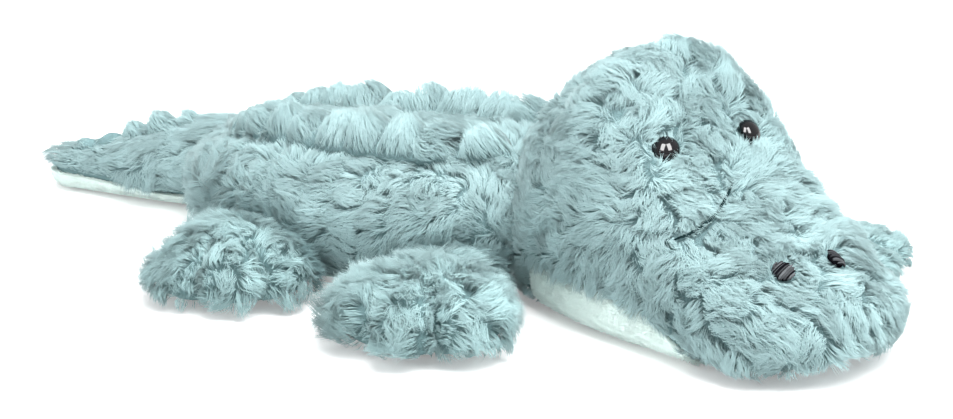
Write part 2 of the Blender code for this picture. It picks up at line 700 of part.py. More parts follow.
head_stuffing = form_object("head_stuffing", head_inner.grown(-STUFFING_GAP), 16, fibre_white, head_frame)
carve(head_stuffing, stuffing_cuts)

# Tail

tail = root_form(TAIL_WIDTH / 2, TAIL_LENGTH, TAIL_SHARES, TAIL_TIP_SHARE, TAIL_WIDTH, TAIL_HEIGHT, 9)
tail_inner = tail.grown(-COVER_WALL).thinned(2)
tail_hollow = as_cutter(form_object("tail_hollow", tail_inner, 12, bare, tail_frame))
tail_opening = rod_cutter("tail_opening", LEG_OPENING_RADIUS, (0, -TAIL_WIDTH, TAIL_MID),
                          (0, 0, TAIL_MID), tail_frame)
tail_cover = form_object("tail_cover", tail, 20, fur_teal, tail_frame, TAIL_SEAM_HEIGHT + SEAM_GAP)
carve(tail_cover, [tail_hollow, tail_opening])

tail_panel = form_object("tail_panel", tail, 12, cloth_mint, tail_frame, 0, TAIL_SEAM_HEIGHT)
carve(tail_panel, [tail_hollow])

tail_stuffing = form_object("tail_stuffing", tail_inner.grown(-STUFFING_GAP), 12, fibre_white, tail_frame)


# Legs

head_rooms = [as_cutter(form_object("head_room", head.grown(TURN_GAP + depth), 28, bare, head_frame, -OVERRUN))
              for depth in (0, COVER_WALL, COVER_WALL + STUFFING_GAP)]

for leg_name, _, _, _, reach_share, height_share in LEG_PLACE_SHARES:
    frame = leg_frames[leg_name]
    size = (LEG_REACH * reach_share, LEG_ROOT_HEIGHT * height_share)
    middle = LEG_MID * height_share
    hollow = as_cutter(limb_object(leg_name + "_hollow", size, COVER_WALL, PLAIN_COUNTS, PLAIN_ANGLES,
                                   bare, frame))
    opening = rod_cutter(leg_name + "_opening", LEG_OPENING_RADIUS * height_share, (0, -LEG_ROOT_WIDTH, middle),
                         (0, 0, middle), frame, 12)
    cover = limb_object(leg_name + "_cover", size, 0, LIMB_COUNTS, LIMB_ANGLES, fur_foot, frame)
    stuffing = limb_object(leg_name + "_stuffing", size, COVER_WALL + STUFFING_GAP, PLAIN_COUNTS,
                           PLAIN_ANGLES, fibre_white, frame)
    if leg_name == "front_leg_left":
        for pressed, room in zip((cover, hollow, stuffing), head_rooms):
            carve(pressed, [room])
    carve(cover, [hollow, opening])


# Ridges

def ridge_object(name, along, across, height, size, tufts, start_part, finish, parent, cutters):
    """A padded strip with a row of tufts, lying on the form that the first cutter outlines."""
    width, rise, tuft_rise = size
    part = np.linspace(0, 1, len(along))
    ends = np.sqrt(np.clip(1 - (2 * part - 1) ** 6, 0.02, 1))
    tuft = abs(np.sin(math.pi * (tufts * part + start_part)))
    half = width / 2 * ends * (0.85 + 0.15 * tuft)
    top = height + (rise + tuft_rise * tuft) * ends
    seat_height = height - RIDGE_SINK * ends
    strip = Form(along, across, half, top, seat_height, height - RIDGE_DEPTH * ends, 2, 2)
    made = form_object(name, strip, 8, finish, parent)
    carve(made, cutters, 'MANIFOLD')
    return made


body_room = as_cutter(form_object("body_room", body.grown(SEAM_GAP), 24, bare))
ridge_start = BODY_FRONT + RIDGE_FROM_SHARE * BODY_LENGTH
ridge_end = BODY_FRONT + RIDGE_TO_SHARE * BODY_LENGTH
for side_name, side in (("right", -1), ("left", 1)):
    along = np.linspace(ridge_start, ridge_end, 3 * RIDGE_TUFTS + 1)
    share = (along - BODY_FRONT) / BODY_LENGTH
    spread = RIDGE_SPREAD / 2 * smooth(share, column(RIDGE_PATH_SHARES, 0), column(RIDGE_PATH_SHARES, 1))
    centre = np.interp(along, body.along, body.across)
    half = np.interp(along, body.along, body.half)
    height = np.array([body.height_at(a, s / h) for a, s, h in zip(along, spread, half)])
    ridge_object("back_ridge_" + side_name, along, centre + side * spread, height,
                 (RIDGE_WIDTH, RIDGE_RISE, RIDGE_TUFT), RIDGE_TUFTS, 0.25 * side, fur_teal, None,
                 [body_room, head_ball])

tail_room = as_cutter(form_object("tail_room", tail.grown(SEAM_GAP), 20, bare, tail_frame))
along = np.linspace(0.10 * TAIL_LENGTH, 0.93 * TAIL_LENGTH, 3 * TAIL_RIDGE_TUFTS + 1)
height = np.array([tail.height_at(a, 0) for a in along])
ridge_object("tail_ridge", along, np.zeros(len(along)), height,
             (TAIL_RIDGE_WIDTH, TAIL_RIDGE_RISE, TAIL_RIDGE_TUFT), TAIL_RIDGE_TUFTS, 0, fur_teal,
             tail_frame, [tail_room])
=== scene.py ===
"""Plush crocodile: sewn skins, fur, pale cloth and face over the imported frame."""
import math

import bpy
import numpy as np
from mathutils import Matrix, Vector


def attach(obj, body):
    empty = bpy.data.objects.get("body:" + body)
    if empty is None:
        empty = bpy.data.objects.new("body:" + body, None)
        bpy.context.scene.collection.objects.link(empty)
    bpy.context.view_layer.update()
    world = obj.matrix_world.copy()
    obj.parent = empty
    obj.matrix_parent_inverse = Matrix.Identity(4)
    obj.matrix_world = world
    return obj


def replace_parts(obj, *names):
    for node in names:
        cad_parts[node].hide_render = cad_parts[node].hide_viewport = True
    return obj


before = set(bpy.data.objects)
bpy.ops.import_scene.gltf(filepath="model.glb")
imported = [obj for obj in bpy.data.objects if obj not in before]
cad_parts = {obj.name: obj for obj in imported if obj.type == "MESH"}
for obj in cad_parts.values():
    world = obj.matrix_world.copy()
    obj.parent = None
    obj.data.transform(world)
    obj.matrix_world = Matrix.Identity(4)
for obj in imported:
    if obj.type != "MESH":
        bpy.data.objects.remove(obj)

bl_info = {
    "name": "Plush Crocodile",
    "version": (1, 0, 0),
    "blender": (4, 5, 0),
    "location": "3D View > Sidebar > Crocodile",
    "description": "Dresses the packed frame of a plush crocodile in fur, cloth, eyes and stitching",
    "category": "Add Mesh",
}

# Sizes of the sewn forms, as the frame has them

BODY_LENGTH = 0.197
BODY_WIDTH = 0.128
BODY_HEIGHT = 0.065
BODY_FRONT = -0.092
BODY_END_ROUND = 0.014
BELLY_SEAM_HEIGHT = 0.0075
HEAD_WIDTH = 0.119
HEAD_HEIGHT = 0.113
HEAD_REACH = 0.139
EYE_DIAMETER = 0.012
EYE_DOME = 0.0048
EYE_RIM = 0.001
EYE_SINK = 0.0012
EYE_FORWARD = 0.044
EYE_SPREAD = 0.045
NOSTRIL_WIDTH = 0.0085
NOSTRIL_HEIGHT = 0.0100
NOSTRIL_FORWARD = 0.1110
NOSTRIL_SPREAD = 0.0266
TAIL_LENGTH = 0.097
TAIL_WIDTH = 0.063
TAIL_HEIGHT = 0.041
TAIL_SEAM_HEIGHT = 0.0095
LEG_REACH = 0.047
FOOT_LENGTH = 0.031
LEG_ROOT_WIDTH = 0.040
LEG_ROOT_HEIGHT = 0.027
FOOT_WIDTH = 0.073
TOE_CLEFT_ANGLE = math.radians(27)
UP_THE_FACE = np.array((0.0, 0.6, 0.8))
RIDGE_WIDTH = 0.030
RIDGE_RISE = 0.0045
RIDGE_TUFT = 0.0040
RIDGE_DEPTH = 0.010
RIDGE_INSET = 0.0022
RIDGE_SPREAD = 0.052
RIDGE_TUFTS = 11
TAIL_RIDGE_WIDTH = 0.017
TAIL_RIDGE_RISE = 0.0020
TAIL_RIDGE_TUFT = 0.0035
TAIL_RIDGE_TUFTS = 5

# Where each jointed piece stands: across, along and its turn about the upright axis
HEAD_PLACE = (0.031, -0.1125, math.radians(-18.5))
TAIL_PLACE = (0.008, 0.108, math.radians(20.0))
BODY_PLACE = (0.0, 0.0, 0.0)

# Legs: name, place, reach and height at the root
LEGS = (
    ("front_leg_right", (-0.32 * BODY_WIDTH, BODY_FRONT + 0.1300 * BODY_LENGTH, math.radians(110)),
     0.97 * LEG_REACH, LEG_ROOT_HEIGHT),
    ("front_leg_left", (0.848 * BODY_WIDTH, BODY_FRONT + 0.0203 * BODY_LENGTH, math.radians(-188)),
     1.80 * LEG_REACH, 0.64 * LEG_ROOT_HEIGHT),
    ("rear_leg_right", (-0.40 * BODY_WIDTH, BODY_FRONT + 0.7130 * BODY_LENGTH, math.radians(128)),
     LEG_REACH, LEG_ROOT_HEIGHT),
    ("rear_leg_left", (0.344 * BODY_WIDTH, BODY_FRONT + 0.7410 * BODY_LENGTH, math.radians(-128)),
     LEG_REACH, LEG_ROOT_HEIGHT),
)

# Body outline: length, across of the length, half width, top and middle, as shares
BODY_SHARES = np.array((
    (0.000, 0.235, 0.930, 0.923, 0.385), (0.071, 0.195, 0.960, 0.923, 0.385),
    (0.152, 0.125, 0.990, 0.954, 0.385), (0.254, 0.045, 1.000, 0.985, 0.400),
    (0.365, -0.005, 1.000, 1.000, 0.415), (0.492, -0.046, 0.985, 1.000, 0.415),
    (0.619, -0.056, 0.940, 0.969, 0.415), (0.746, -0.041, 0.845, 0.908, 0.400),
    (0.848, -0.015, 0.735, 0.815, 0.370), (0.934, 0.015, 0.640, 0.725, 0.330),
    (1.000, 0.038, 0.565, 0.655, 0.300),
))
# Head outline: reach, half width, top and middle, as shares, and its upper and lower squareness
HEAD_SHARES = np.array((
    (0.000, 1.000, 0.960, 0.280, 2.0, 6.0), (0.080, 1.000, 0.995, 0.270, 2.0, 6.5),
    (0.160, 0.995, 0.965, 0.260, 2.1, 6.5), (0.230, 0.980, 0.860, 0.250, 2.3, 6.5),
    (0.300, 0.955, 0.735, 0.240, 2.5, 6.5), (0.380, 0.925, 0.640, 0.230, 2.6, 6.5),
    (0.470, 0.885, 0.570, 0.220, 2.6, 6.0), (0.570, 0.835, 0.505, 0.210, 2.5, 5.5),
    (0.670, 0.795, 0.450, 0.200, 2.4, 5.0), (0.780, 0.770, 0.395, 0.190, 2.3, 4.0),
    (1.000, 0.740, 0.310, 0.170, 2.3, 3.5),
))
CROWN_BACK_SQUARE = 1.75
SNOUT_ROUND_SHARE = 0.270
CHIN_SEAM_SHARES = np.array(((-0.50, 0.190), (-0.05, 0.195), (0.30, 0.205), (0.50, 0.165), (0.64, 0.075)))
TAIL_SHARES = np.array((
    (0.00, 1.00, 1.00, 0.46), (0.20, 0.92, 0.93, 0.43), (0.40, 0.78, 0.81, 0.39),
    (0.60, 0.62, 0.68, 0.34), (0.80, 0.46, 0.56, 0.29), (1.00, 0.36, 0.48, 0.26),
))
TAIL_TIP_SHARE = 0.86
LEG_SHARES = np.array(((0.0, 0.00, 1.00, 0.481), (0.35, 0.20, 1.05, 0.481), (0.70, 0.74, 1.18, 0.500),
                       (1.00, 1.00, 1.26, 0.520)))
RIDGE_PATH_SHARES = np.array(((0.00, 1.00), (0.45, 1.00), (0.75, 0.72), (1.00, 0.34)))

# The smile crease on one cheek, from the brow down: side, ahead of the neck, height
CREASE = np.array((
    (-0.0020, 0.0636, 0.0654), (-0.0101, 0.0692, 0.0619), (-0.0199, 0.0746, 0.0579),
    (-0.0279, 0.0763, 0.0551), (-0.0345, 0.0757, 0.0528), (-0.0405, 0.0730, 0.0500),
))
SMILE_THREAD_WIDTH = 0.0012
NOSTRIL_ROWS = 19

# What every form keeps at least, and the height and spacing of the flanks' folds
LEAST_SIZE = 0.0002
FLANK_FOLD = 0.0018
FLANK_FOLD_SPACING = 0.0125

# The photo's camera: width and focal length in pixels, where it looks, from where and how far
PHOTO_WIDTH = 953
FOCAL_LENGTH = 2600
SENSOR_WIDTH = 36.0
TARGET = Vector((0.0, -0.045, 0.03))
CAMERA_VIEW = (-52, 18.5)
CAMERA_DISTANCE = 1.15
FLOOR_RADIUS = 4.0

# Lamps: name, power setting, azimuth and elevation in degrees, distance, size and which rays miss them
LAMPS = (
    ("lamp_left", "side_power", (-110, 30), 1.3, (0.3, 0.8), "visible_glossy"),
    ("glint_left", "glint_power", (-81, 46), 1.3, (0.55, 1.0), "visible_diffuse"),
    ("lamp_right", "side_power", (0, 30), 1.3, (0.3, 0.8), "visible_glossy"),
    ("glint_right", "glint_power", (-23, 46), 1.3, (0.55, 1.0), "visible_diffuse"),
    ("lamp_back", "back_power", (128, 40), 1.5, (1.2, 1.0), "visible_glossy"),
    ("lamp_top", "top_power", (-22, 68), 1.4, (1.2, 1.2), "visible_glossy"),
)


# Numbers and forms

def curve_through(at, places, values):
    """Cubic curve through values at places: each stretch runs between two values with
    the slopes that their neighbours give."""
    slopes = np.gradient(values, places)
    at = np.clip(at, places[0], places[-1])
    cell = np.clip(np.searchsorted(places, at) - 1, 0, len(places) - 2)
    width = places[cell + 1] - places[cell]
    part = (at - places[cell]) / width
    rest = 1 - part
    start = values[cell] * (1 + 2 * part) * rest ** 2 + slopes[cell] * width * part * rest ** 2
    end = values[cell + 1] * (3 - 2 * part) * part ** 2
    return start + end - slopes[cell + 1] * width * rest * part ** 2
def shares_at(table, at):
    """A table's later columns, each as a cubic curve through the places in its first."""
    return [curve_through(at, table[:, 0], column) for column in table.T[1:]]
def rounding(beyond, reach, power):
    """1 until an end begins, then down to 0 at the tip: (1 - share ** power) ** (1 / power)."""
    part = np.clip(beyond / reach, 0, 1)
    return (1 - part ** power) ** (1 / power)


def fade(value, low, high):
    """0 below low, 1 above high, and 3 p^2 - 2 p^3 of the share p between them."""
    part = np.clip((value - low) / (high - low), 0, 1)
    return part * part * (3 - 2 * part)


def unit(vectors):
    """Vectors divided by their lengths."""
    return vectors / np.maximum(np.linalg.norm(vectors, axis=-1, keepdims=True), 1e-12)


def placed(points, place):
    """Points of a piece's own frame in the whole object's: turned about the upright axis, then moved."""
    across, along, turn = place
    c, s = math.cos(turn), math.sin(turn)
    x, y, z = points[..., 0], points[..., 1], points[..., 2]
    return np.stack([across + c * x - s * y, along + s * x + c * y, z], axis=-1)


def unplaced(points, place):
    """Points of the whole object's frame in a piece's own: moved back, then turned back."""
    across, along, turn = place
    c, s = math.cos(turn), math.sin(turn)
    x, y, z = points[..., 0] - across, points[..., 1] - along, points[..., 2]
    return np.stack([c * x + s * y, c * y - s * x, z], axis=-1)


def turned(vectors, place):
    """Directions of a piece's own frame in the whole object's."""
    return placed(vectors, (0, 0, place[2]))


def scrambled(cells, seed):
    """A number from 0 to 1 for each whole-number place: its three numbers times large odd
    ones, mixed by shifts, and the low bits kept."""
    x, y, z = (cells[..., k] for k in range(3))
    mixed = (x * 73856093) ^ (y * 19349663) ^ (z * 83492791) ^ (seed * 40503)
    mixed = (mixed ^ (mixed >> 13)) * 1274126177
    mixed = (mixed ^ (mixed >> 15)) * 668265263
    return ((mixed ^ (mixed >> 16)) & 0xFFFFF) / float(0xFFFFF)


def noise(points, size, seed):
    """Smooth numbers from -1 to 1: random ones at the corners of cubes of a size, blended
    between the eight corners by 3 p^2 - 2 p^3 of the share along each side."""
    place = points / size
    cell = np.floor(place).astype(np.int64)
    part = place - cell
    part = part * part * (3 - 2 * part)
    total = np.zeros(points.shape[:-1])
    for corner in np.ndindex(2, 2, 2):
        weight = np.prod(np.where(corner, part, 1 - part), axis=-1)
        total += weight * (2 * scrambled(cell + corner, seed) - 1)
    return total


def wander(points, size, seed):
    """A smooth random direction at each point: three noises of one size."""
    return np.stack([noise(points, size, seed + k) for k in (0, 101, 202)], axis=-1)


def tufts_at(points, size, seed):
    """Which tuft each point belongs to, numbered from 0: the nearest of one random place in
    every cube of a size, looked for in the 27 cubes around."""
    cell = np.floor(points / size).astype(np.int64)
    nearest = np.full(len(points), np.inf)
    chosen = np.zeros((len(points), 3), dtype=np.int64)
    for shift in np.ndindex(3, 3, 3):
        near = cell + np.array(shift) - 1
        off = np.stack([scrambled(near, seed + 31 * k) for k in range(3)], axis=1)
        place = near + 0.12 + 0.76 * off
        distance = ((points / size - place) ** 2).sum(axis=1)
        closer = distance < nearest
        nearest = np.where(closer, distance, nearest)
        chosen = np.where(closer[:, None], near, chosen)
    return np.unique(chosen, axis=0, return_inverse=True)[1].ravel()


def mean_of(values, groups):
    """Each group's mean of the values, given back to each of its members."""
    count = np.bincount(groups)
    sums = np.stack([np.bincount(groups, weights=values[:, k]) for k in range(values.shape[1])], axis=1)
    return (sums / np.maximum(count, 1)[:, None])[groups]


class Form:
    """A swelling soft form: upright rings along its own length. A ring's point at angle a
    stands half * cos(a) ** (2 / square) across and rise * sin(a) ** (2 / square) above its middle."""

    def __init__(self, *lines):
        self.lines = [0 * lines[0] + line for line in lines]
        (self.along, self.across, self.half, self.top, self.mid, self.bottom, self.square_top,
         self.square_low) = self.lines

    def grown(self, depth):
        """The form with its skin moved out by depth, or in where depth is negative."""
        length = self.along[-1] - self.along[0]
        middle = 0.5 * (self.along[0] + self.along[-1])
        along = middle + (self.along - middle) * (1 + 2 * np.sign(length) * depth / length)
        top = np.maximum(self.top + depth, self.mid + LEAST_SIZE)
        bottom = np.minimum(self.bottom - depth, self.mid - LEAST_SIZE)
        return Form(along, self.across, np.maximum(self.half + depth, LEAST_SIZE), top, self.mid, bottom,
                    self.square_top, self.square_low)

    def at(self, along):
        """The form's other lines at places along it, straight between its rings."""
        order = np.argsort(self.along)
        return [np.interp(along, self.along[order], line[order]) for line in self.lines[1:]]

    def skin_height(self, off, along):
        """Height of the upper skin at a distance off the middle line."""
        _, half, top, mid, _, square, _ = self.at(along)
        return mid + (top - mid) * (1 - np.clip(off / half, 0, 1) ** square) ** (1 / square)

    def depth_share(self, points):
        """Below 1 inside the form, 1 on its skin, for points of its own frame."""
        across, half, top, mid, bottom, square_top, square_low = self.at(points[..., 1])
        above = points[..., 2] > mid
        square = np.where(above, square_top, square_low)
        rise = np.where(above, top - mid, mid - bottom)
        share = (abs(points[..., 0] - across) / half) ** square + (abs(points[..., 2] - mid) / rise) ** square
        beyond = (points[..., 1] < self.along.min()) | (points[..., 1] > self.along.max())
        return np.where(beyond, 9.0, share)

    def grid(self, sides, low=0.0, high=None):
        """Ring points, flat at the low limit; with a high limit only the skin below it."""
        if high is None:
            angle = (2 * math.pi * np.arange(sides) / sides)[None, :]
        else:
            depth = np.clip((self.mid - high) / (self.mid - self.bottom), 0, 0.98)
            edge = np.arcsin(depth ** (self.square_low / 2))[:, None]
            angle = -edge - (math.pi - 2 * edge) * np.linspace(0, 1, sides)[None, :]
        cosine, sine = np.cos(angle), np.sin(angle)
        power = 2 / np.where(sine > 0, self.square_top[:, None], self.square_low[:, None])
        across = self.across[:, None] + self.half[:, None] * np.sign(cosine) * abs(cosine) ** power
        rise = np.where(sine > 0, (self.top - self.mid)[:, None], (self.mid - self.bottom)[:, None])
        height = self.mid[:, None] + rise * np.sign(sine) * abs(sine) ** power
        height = np.maximum(height, np.reshape(low, (-1, 1)))
        rings = np.stack([across, np.repeat(self.along[:, None], sides, axis=1), height], axis=2)
        tips = rings[[0, -1]].mean(axis=1, keepdims=True) + np.zeros((2, sides, 3))
        return np.concatenate([tips[:1], rings, tips[1:]])


def body_form():
    """The body: its outline along a bent middle line, rounded off at the nose end."""
    end = BODY_END_ROUND
    along = np.concatenate([BODY_FRONT + end * (1 - np.cos(np.linspace(0, 0.5 * math.pi, 9)[1:])),
                            np.linspace(BODY_FRONT + end, BODY_FRONT + BODY_LENGTH, 76)[1:]])
    across, half, top, mid = shares_at(BODY_SHARES, (along - BODY_FRONT) / BODY_LENGTH)
    round_end = rounding(BODY_FRONT + end - along, end, 2)
    top, mid = BODY_HEIGHT * top, BODY_HEIGHT * mid
    top = mid + (top - mid) * (0.4 + 0.6 * round_end)
    return Form(along, BODY_LENGTH * across, BODY_WIDTH / 2 * half * (0.7 + 0.3 * round_end), top, mid,
                mid - mid * (0.6 + 0.4 * round_end), 2.2, 3.0)


def head_form():
    """The head: half a ball of revolution behind the neck axis, then crown, brow and snout."""
    radius = HEAD_WIDTH / 2
    behind = radius * np.cos(np.linspace(0.05, 0.5 * math.pi, 22))[:-1]
    tip_start = HEAD_REACH * (1 - SNOUT_ROUND_SHARE)
    snout = tip_start + (HEAD_REACH - tip_start) * np.sin(np.linspace(0, 0.5 * math.pi - 0.05, 20))[1:]
    ahead = np.concatenate([-behind, np.linspace(0, tip_start, 44), snout])
    share = np.clip(ahead / HEAD_REACH, 0, 1)
    half, top, mid, square_top, square_low = shares_at(HEAD_SHARES, share)
    ball, crown, low = (rounding(-ahead, radius, power) for power in (2, CROWN_BACK_SQUARE, 4))
    end = rounding(ahead - tip_start, HEAD_REACH - tip_start, 2.3)
    mid = HEAD_HEIGHT * mid
    return Form(-ahead, 0, radius * half * ball * end, mid + (HEAD_HEIGHT * top - mid) * crown * end, mid,
                mid - mid * low * end, np.where(ahead >= 0, square_top, CROWN_BACK_SQUARE), square_low)


def tail_form():
    """The tail: half a ball of revolution at its root, then its outline out to a round tip."""
    radius = TAIL_WIDTH / 2
    behind = radius * np.cos(np.linspace(0.06, 0.5 * math.pi, 14))[:-1]
    start = TAIL_LENGTH * TAIL_TIP_SHARE
    tip = start + (TAIL_LENGTH - start) * np.sin(np.linspace(0, 0.5 * math.pi - 0.06, 12))[1:]
    along = np.concatenate([-behind, np.linspace(0, start, 40), tip])
    share = np.clip(along / TAIL_LENGTH, 0, 1)
    half, top, mid = shares_at(TAIL_SHARES, share)
    ball = rounding(-along, radius, 2)
    end = rounding(along - start, TAIL_LENGTH - start, 2.4)
    mid = TAIL_HEIGHT * mid
    return Form(along, 0, radius * half * ball * end, mid + (TAIL_HEIGHT * top - mid) * ball * end, mid,
                mid - mid * ball * end, 2.0, 2 + 0.6 * np.clip(share / 0.3, 0, 1))


def limb_grid(reach, tall, inset):
    """A leg and foot: its plan outline (a half disc at the root, sides that widen, and a
    half ellipse whose rim is drawn in between three toes) shrunk toward the middle line
    by cos(angle) and raised by sin(angle) from sole to crest."""
    width, root = FOOT_WIDTH / 2 - inset, LEG_ROOT_WIDTH / 2 - inset
    cap = np.radians(np.linspace(180, 90, 14))[:-1]
    shank = np.linspace(0, 1, 22)[:-1]
    toes = np.radians(np.linspace(90, 0, 40))
    cleft = 1 - 0.23 * np.exp(-((toes - TOE_CLEFT_ANGLE) / math.radians(7)) ** 2)
    widened = root + (width - root) * shares_at(LEG_SHARES, shank)[0]
    side = np.concatenate([root * np.sin(cap), widened, width * np.sin(toes) * cleft])
    spine = np.concatenate([cap * 0, reach * shank, reach + toes * 0])
    ahead = np.concatenate([root * np.cos(cap), shank * 0, (FOOT_LENGTH - inset) * np.cos(toes) * cleft])
    right = np.stack([side, spine, ahead], axis=1)
    side, spine, ahead = np.concatenate([right, right[-2:0:-1] * (-1, 1, 1)]).T
    _, top, mid = shares_at(LEG_SHARES, spine / reach)
    top, mid = tall * top - inset, tall * mid
    square = 2 + 0.6 * spine / reach
    angle = np.radians(np.concatenate([np.linspace(90, 0, 14), np.linspace(0, -90, 9)[1:]]))[:, None]
    power = np.where(angle >= 0, 1, 2 / square)
    out = np.maximum(np.cos(angle), 0) ** power
    rise = abs(np.sin(angle)) ** power * np.where(angle >= 0, top - mid, -mid + inset)
    out[0] = out[-1] = 0
    return np.stack([side * out, spine + ahead * out, np.maximum(mid + rise, inset)], axis=2)


def limb_depth_share(points, reach, tall, inset=0.0):
    """Below 1 inside a leg, for points of its own frame: the sum of squares of the shares
    out to its side, its end and its height."""
    spine = np.clip(points[..., 1], 0, reach)
    beyond = points[..., 1] - spine
    wide, top, mid = shares_at(LEG_SHARES, spine / reach)
    root = LEG_ROOT_WIDTH / 2
    side = root + (FOOT_WIDTH / 2 - root) * wide - inset
    end = np.where(beyond > 0, FOOT_LENGTH, root) - inset
    top, mid = tall * top - inset, tall * mid
    rise = np.where(points[..., 2] > mid, top - mid, mid)
    return (points[..., 0] / side) ** 2 + (beyond / end) ** 2 + ((points[..., 2] - mid) / rise) ** 2


def strip_form(along, across, height, width, rise, tuft_rise, tufts, start):
    """A padded strip with a row of tufts: its top rises by the size of sin(pi * tufts * share)."""
    part = np.linspace(0, 1, len(along))
    ends = np.sqrt(np.clip(1 - (2 * part - 1) ** 6, 0.02, 1))
    tuft = abs(np.sin(math.pi * (tufts * part + start)))
    top = height + (rise + tuft_rise * tuft) * ends
    return Form(along, across, width / 2 * ends * (0.85 + 0.15 * tuft), top, height - 0.003 * ends,
                height - RIDGE_DEPTH * ends, 2, 2)


BODY, HEAD, TAIL = body_form(), head_form(), tail_form()


def depth_in(form, points, grow):
    """Below 1 inside the body, the head or the tail, each grown by a distance."""
    place = HEAD_PLACE if form is HEAD else TAIL_PLACE if form is TAIL else BODY_PLACE
    return form.grown(grow).depth_share(unplaced(points, place))


def leg_depth(points, grow):
    """Below 1 inside a leg grown by a distance: the least depth share over the four legs."""
    return np.min([limb_depth_share(unplaced(points, place), reach, tall, -grow)
                   for _, place, reach, tall in LEGS], axis=0)


# Surfaces and meshes

def surface_of(grid):
    """Triangles over a grid that closes round its second direction and draws to a point or a
    line at both ends of its first. Corners in one place are made one, and flat triangles go."""
    rows, sides = grid.shape[:2]
    row = np.arange(rows - 1)[:, None] * sides
    side = np.arange(sides)[None, :]
    after = (side + 1) % sides
    corners = row + side, row + after, row + sides + after, row + sides + side
    quads = np.stack(corners, axis=-1).reshape(-1, 4)
    triangles = np.concatenate([quads[:, (0, 1, 2)], quads[:, (0, 2, 3)]])
    points = grid.reshape(-1, 3)
    _, first, same = np.unique(np.round(points * 1e7), axis=0, return_index=True, return_inverse=True)
    points, triangles = points[first], same.ravel()[triangles]
    a, b, c = triangles.T
    triangles = triangles[(a != b) & (b != c) & (c != a)]
    volume = np.einsum("ij,ij->", points[triangles[:, 0]],
                       np.cross(points[triangles[:, 1]], points[triangles[:, 2]]))
    return points, triangles if volume > 0 else triangles[:, ::-1]


def normals_of(points, triangles):
    """Outward direction at each corner: its triangles' area directions added up."""
    a, b, c = (points[triangles[:, k]] for k in range(3))
    face = np.cross(b - a, c - a)
    total = np.zeros_like(points)
    for k in range(3):
        for axis in range(3):
            total[:, axis] += np.bincount(triangles[:, k], weights=face[:, axis], minlength=len(points))
    return unit(total)


def new_piece(name, surface, finish, soft=True, corner_map=None, marks=None, shading=None):
    """A mesh object from whole arrays: points and faces of one corner count, a flat map for
    its corners, named numbers for its points and directions that it is shaded by."""
    points, faces = surface
    mesh = bpy.data.meshes.new(name)
    mesh.vertices.add(len(points))
    mesh.vertices.foreach_set("co", np.ascontiguousarray(points, dtype=np.float32).ravel())
    mesh.loops.add(faces.size)
    mesh.loops.foreach_set("vertex_index", faces.ravel().astype(np.int32))
    mesh.polygons.add(len(faces))
    mesh.polygons.foreach_set("loop_start", np.arange(0, faces.size, faces.shape[1], dtype=np.int32))
    mesh.update(calc_edges=True)
    if corner_map is not None:
        mesh.uv_layers.new(name="OFBake").data.foreach_set("uv", corner_map.astype(np.float32).ravel())
    for mark, values in (marks or {}).items():
        mesh.attributes.new(mark, "FLOAT", "POINT").data.foreach_set("value", values.astype(np.float32))
    mesh.polygons.foreach_set("use_smooth", np.full(len(faces), soft))
    if shading is not None:
        own = np.empty(3 * len(points), dtype=np.float32)
        mesh.vertex_normals.foreach_get("vector", own)
        mesh.normals_split_custom_set_from_vertices(unit(shading + 0.35 * own.reshape(-1, 3)))
    mesh.materials.append(finish)
    made = bpy.data.objects.new(name, mesh)
    bpy.context.scene.collection.objects.link(made)
    return made


def padded_skin(name, surface, finish, body, stands_for):
    """A sewn and stuffed skin that rides a body in place of its CAD solids."""
    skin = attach(new_piece(name, surface, finish), body)
    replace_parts(skin, *stands_for)


def pushed(surface, distance):
    """A surface with its points moved along their outward directions by distances."""
    points, triangles = surface
    return points + normals_of(points, triangles) * distance[:, None], triangles


def swollen(surface, depth, size, seed, floor=0.004):
    """A skin pushed in and out by two noises, so that the stuffing shows as soft lumps; the
    sole stays flat."""
    points = surface[0]
    lump = 0.65 * noise(points, size, seed) + 0.35 * noise(points, 0.45 * size, seed + 7)
    return pushed(surface, depth * lump * fade(points[:, 2], floor, floor + 0.008))


def circle_round(side, other, corners, turn=0.0):
    """Directions spread evenly round an axis, from its side direction toward its other one."""
    angle = 2 * math.pi * np.arange(corners) / corners + turn
    return side[..., None, :] * np.cos(angle)[:, None] + other[..., None, :] * np.sin(angle)[:, None]


def lathe(profile, centre, axis, sides):
    """A turned form: profile points of radius and height, carried round an axis from a centre."""
    axis = unit(np.asarray(axis, dtype=float))
    side = unit(np.cross(axis, (0.31, 0.17, 0.93)))
    ring = circle_round(side, np.cross(axis, side), sides)
    radius, height = np.asarray(profile, dtype=float).T
    return centre + radius[:, None, None] * ring[None] + height[:, None, None] * axis


# Fur

def strand_map(count):
    """Each strand's place on a flat map, a square cell each: its three sides side by side,
    the lower halves pointing down and the upper halves pointing up."""
    rows = int(math.ceil(math.sqrt(count)))
    column = np.array((0.08, 0.36, 0.64, 0.92))
    peak = (column[:-1] + column[1:]) / 2
    low, middle, high = 0.08, 0.46, 0.92
    under = [[(column[k + 1], middle), (column[k], middle), (peak[k], low)] for k in range(3)]
    over = [[(column[k], middle), (column[k + 1], middle), (peak[k], high)] for k in range(3)]
    number = np.arange(count)
    corner = np.stack([number % rows, number // rows], axis=1)[:, None, None, :]
    return ((corner + np.array(under + over)[None]) / rows).reshape(-1, 2)


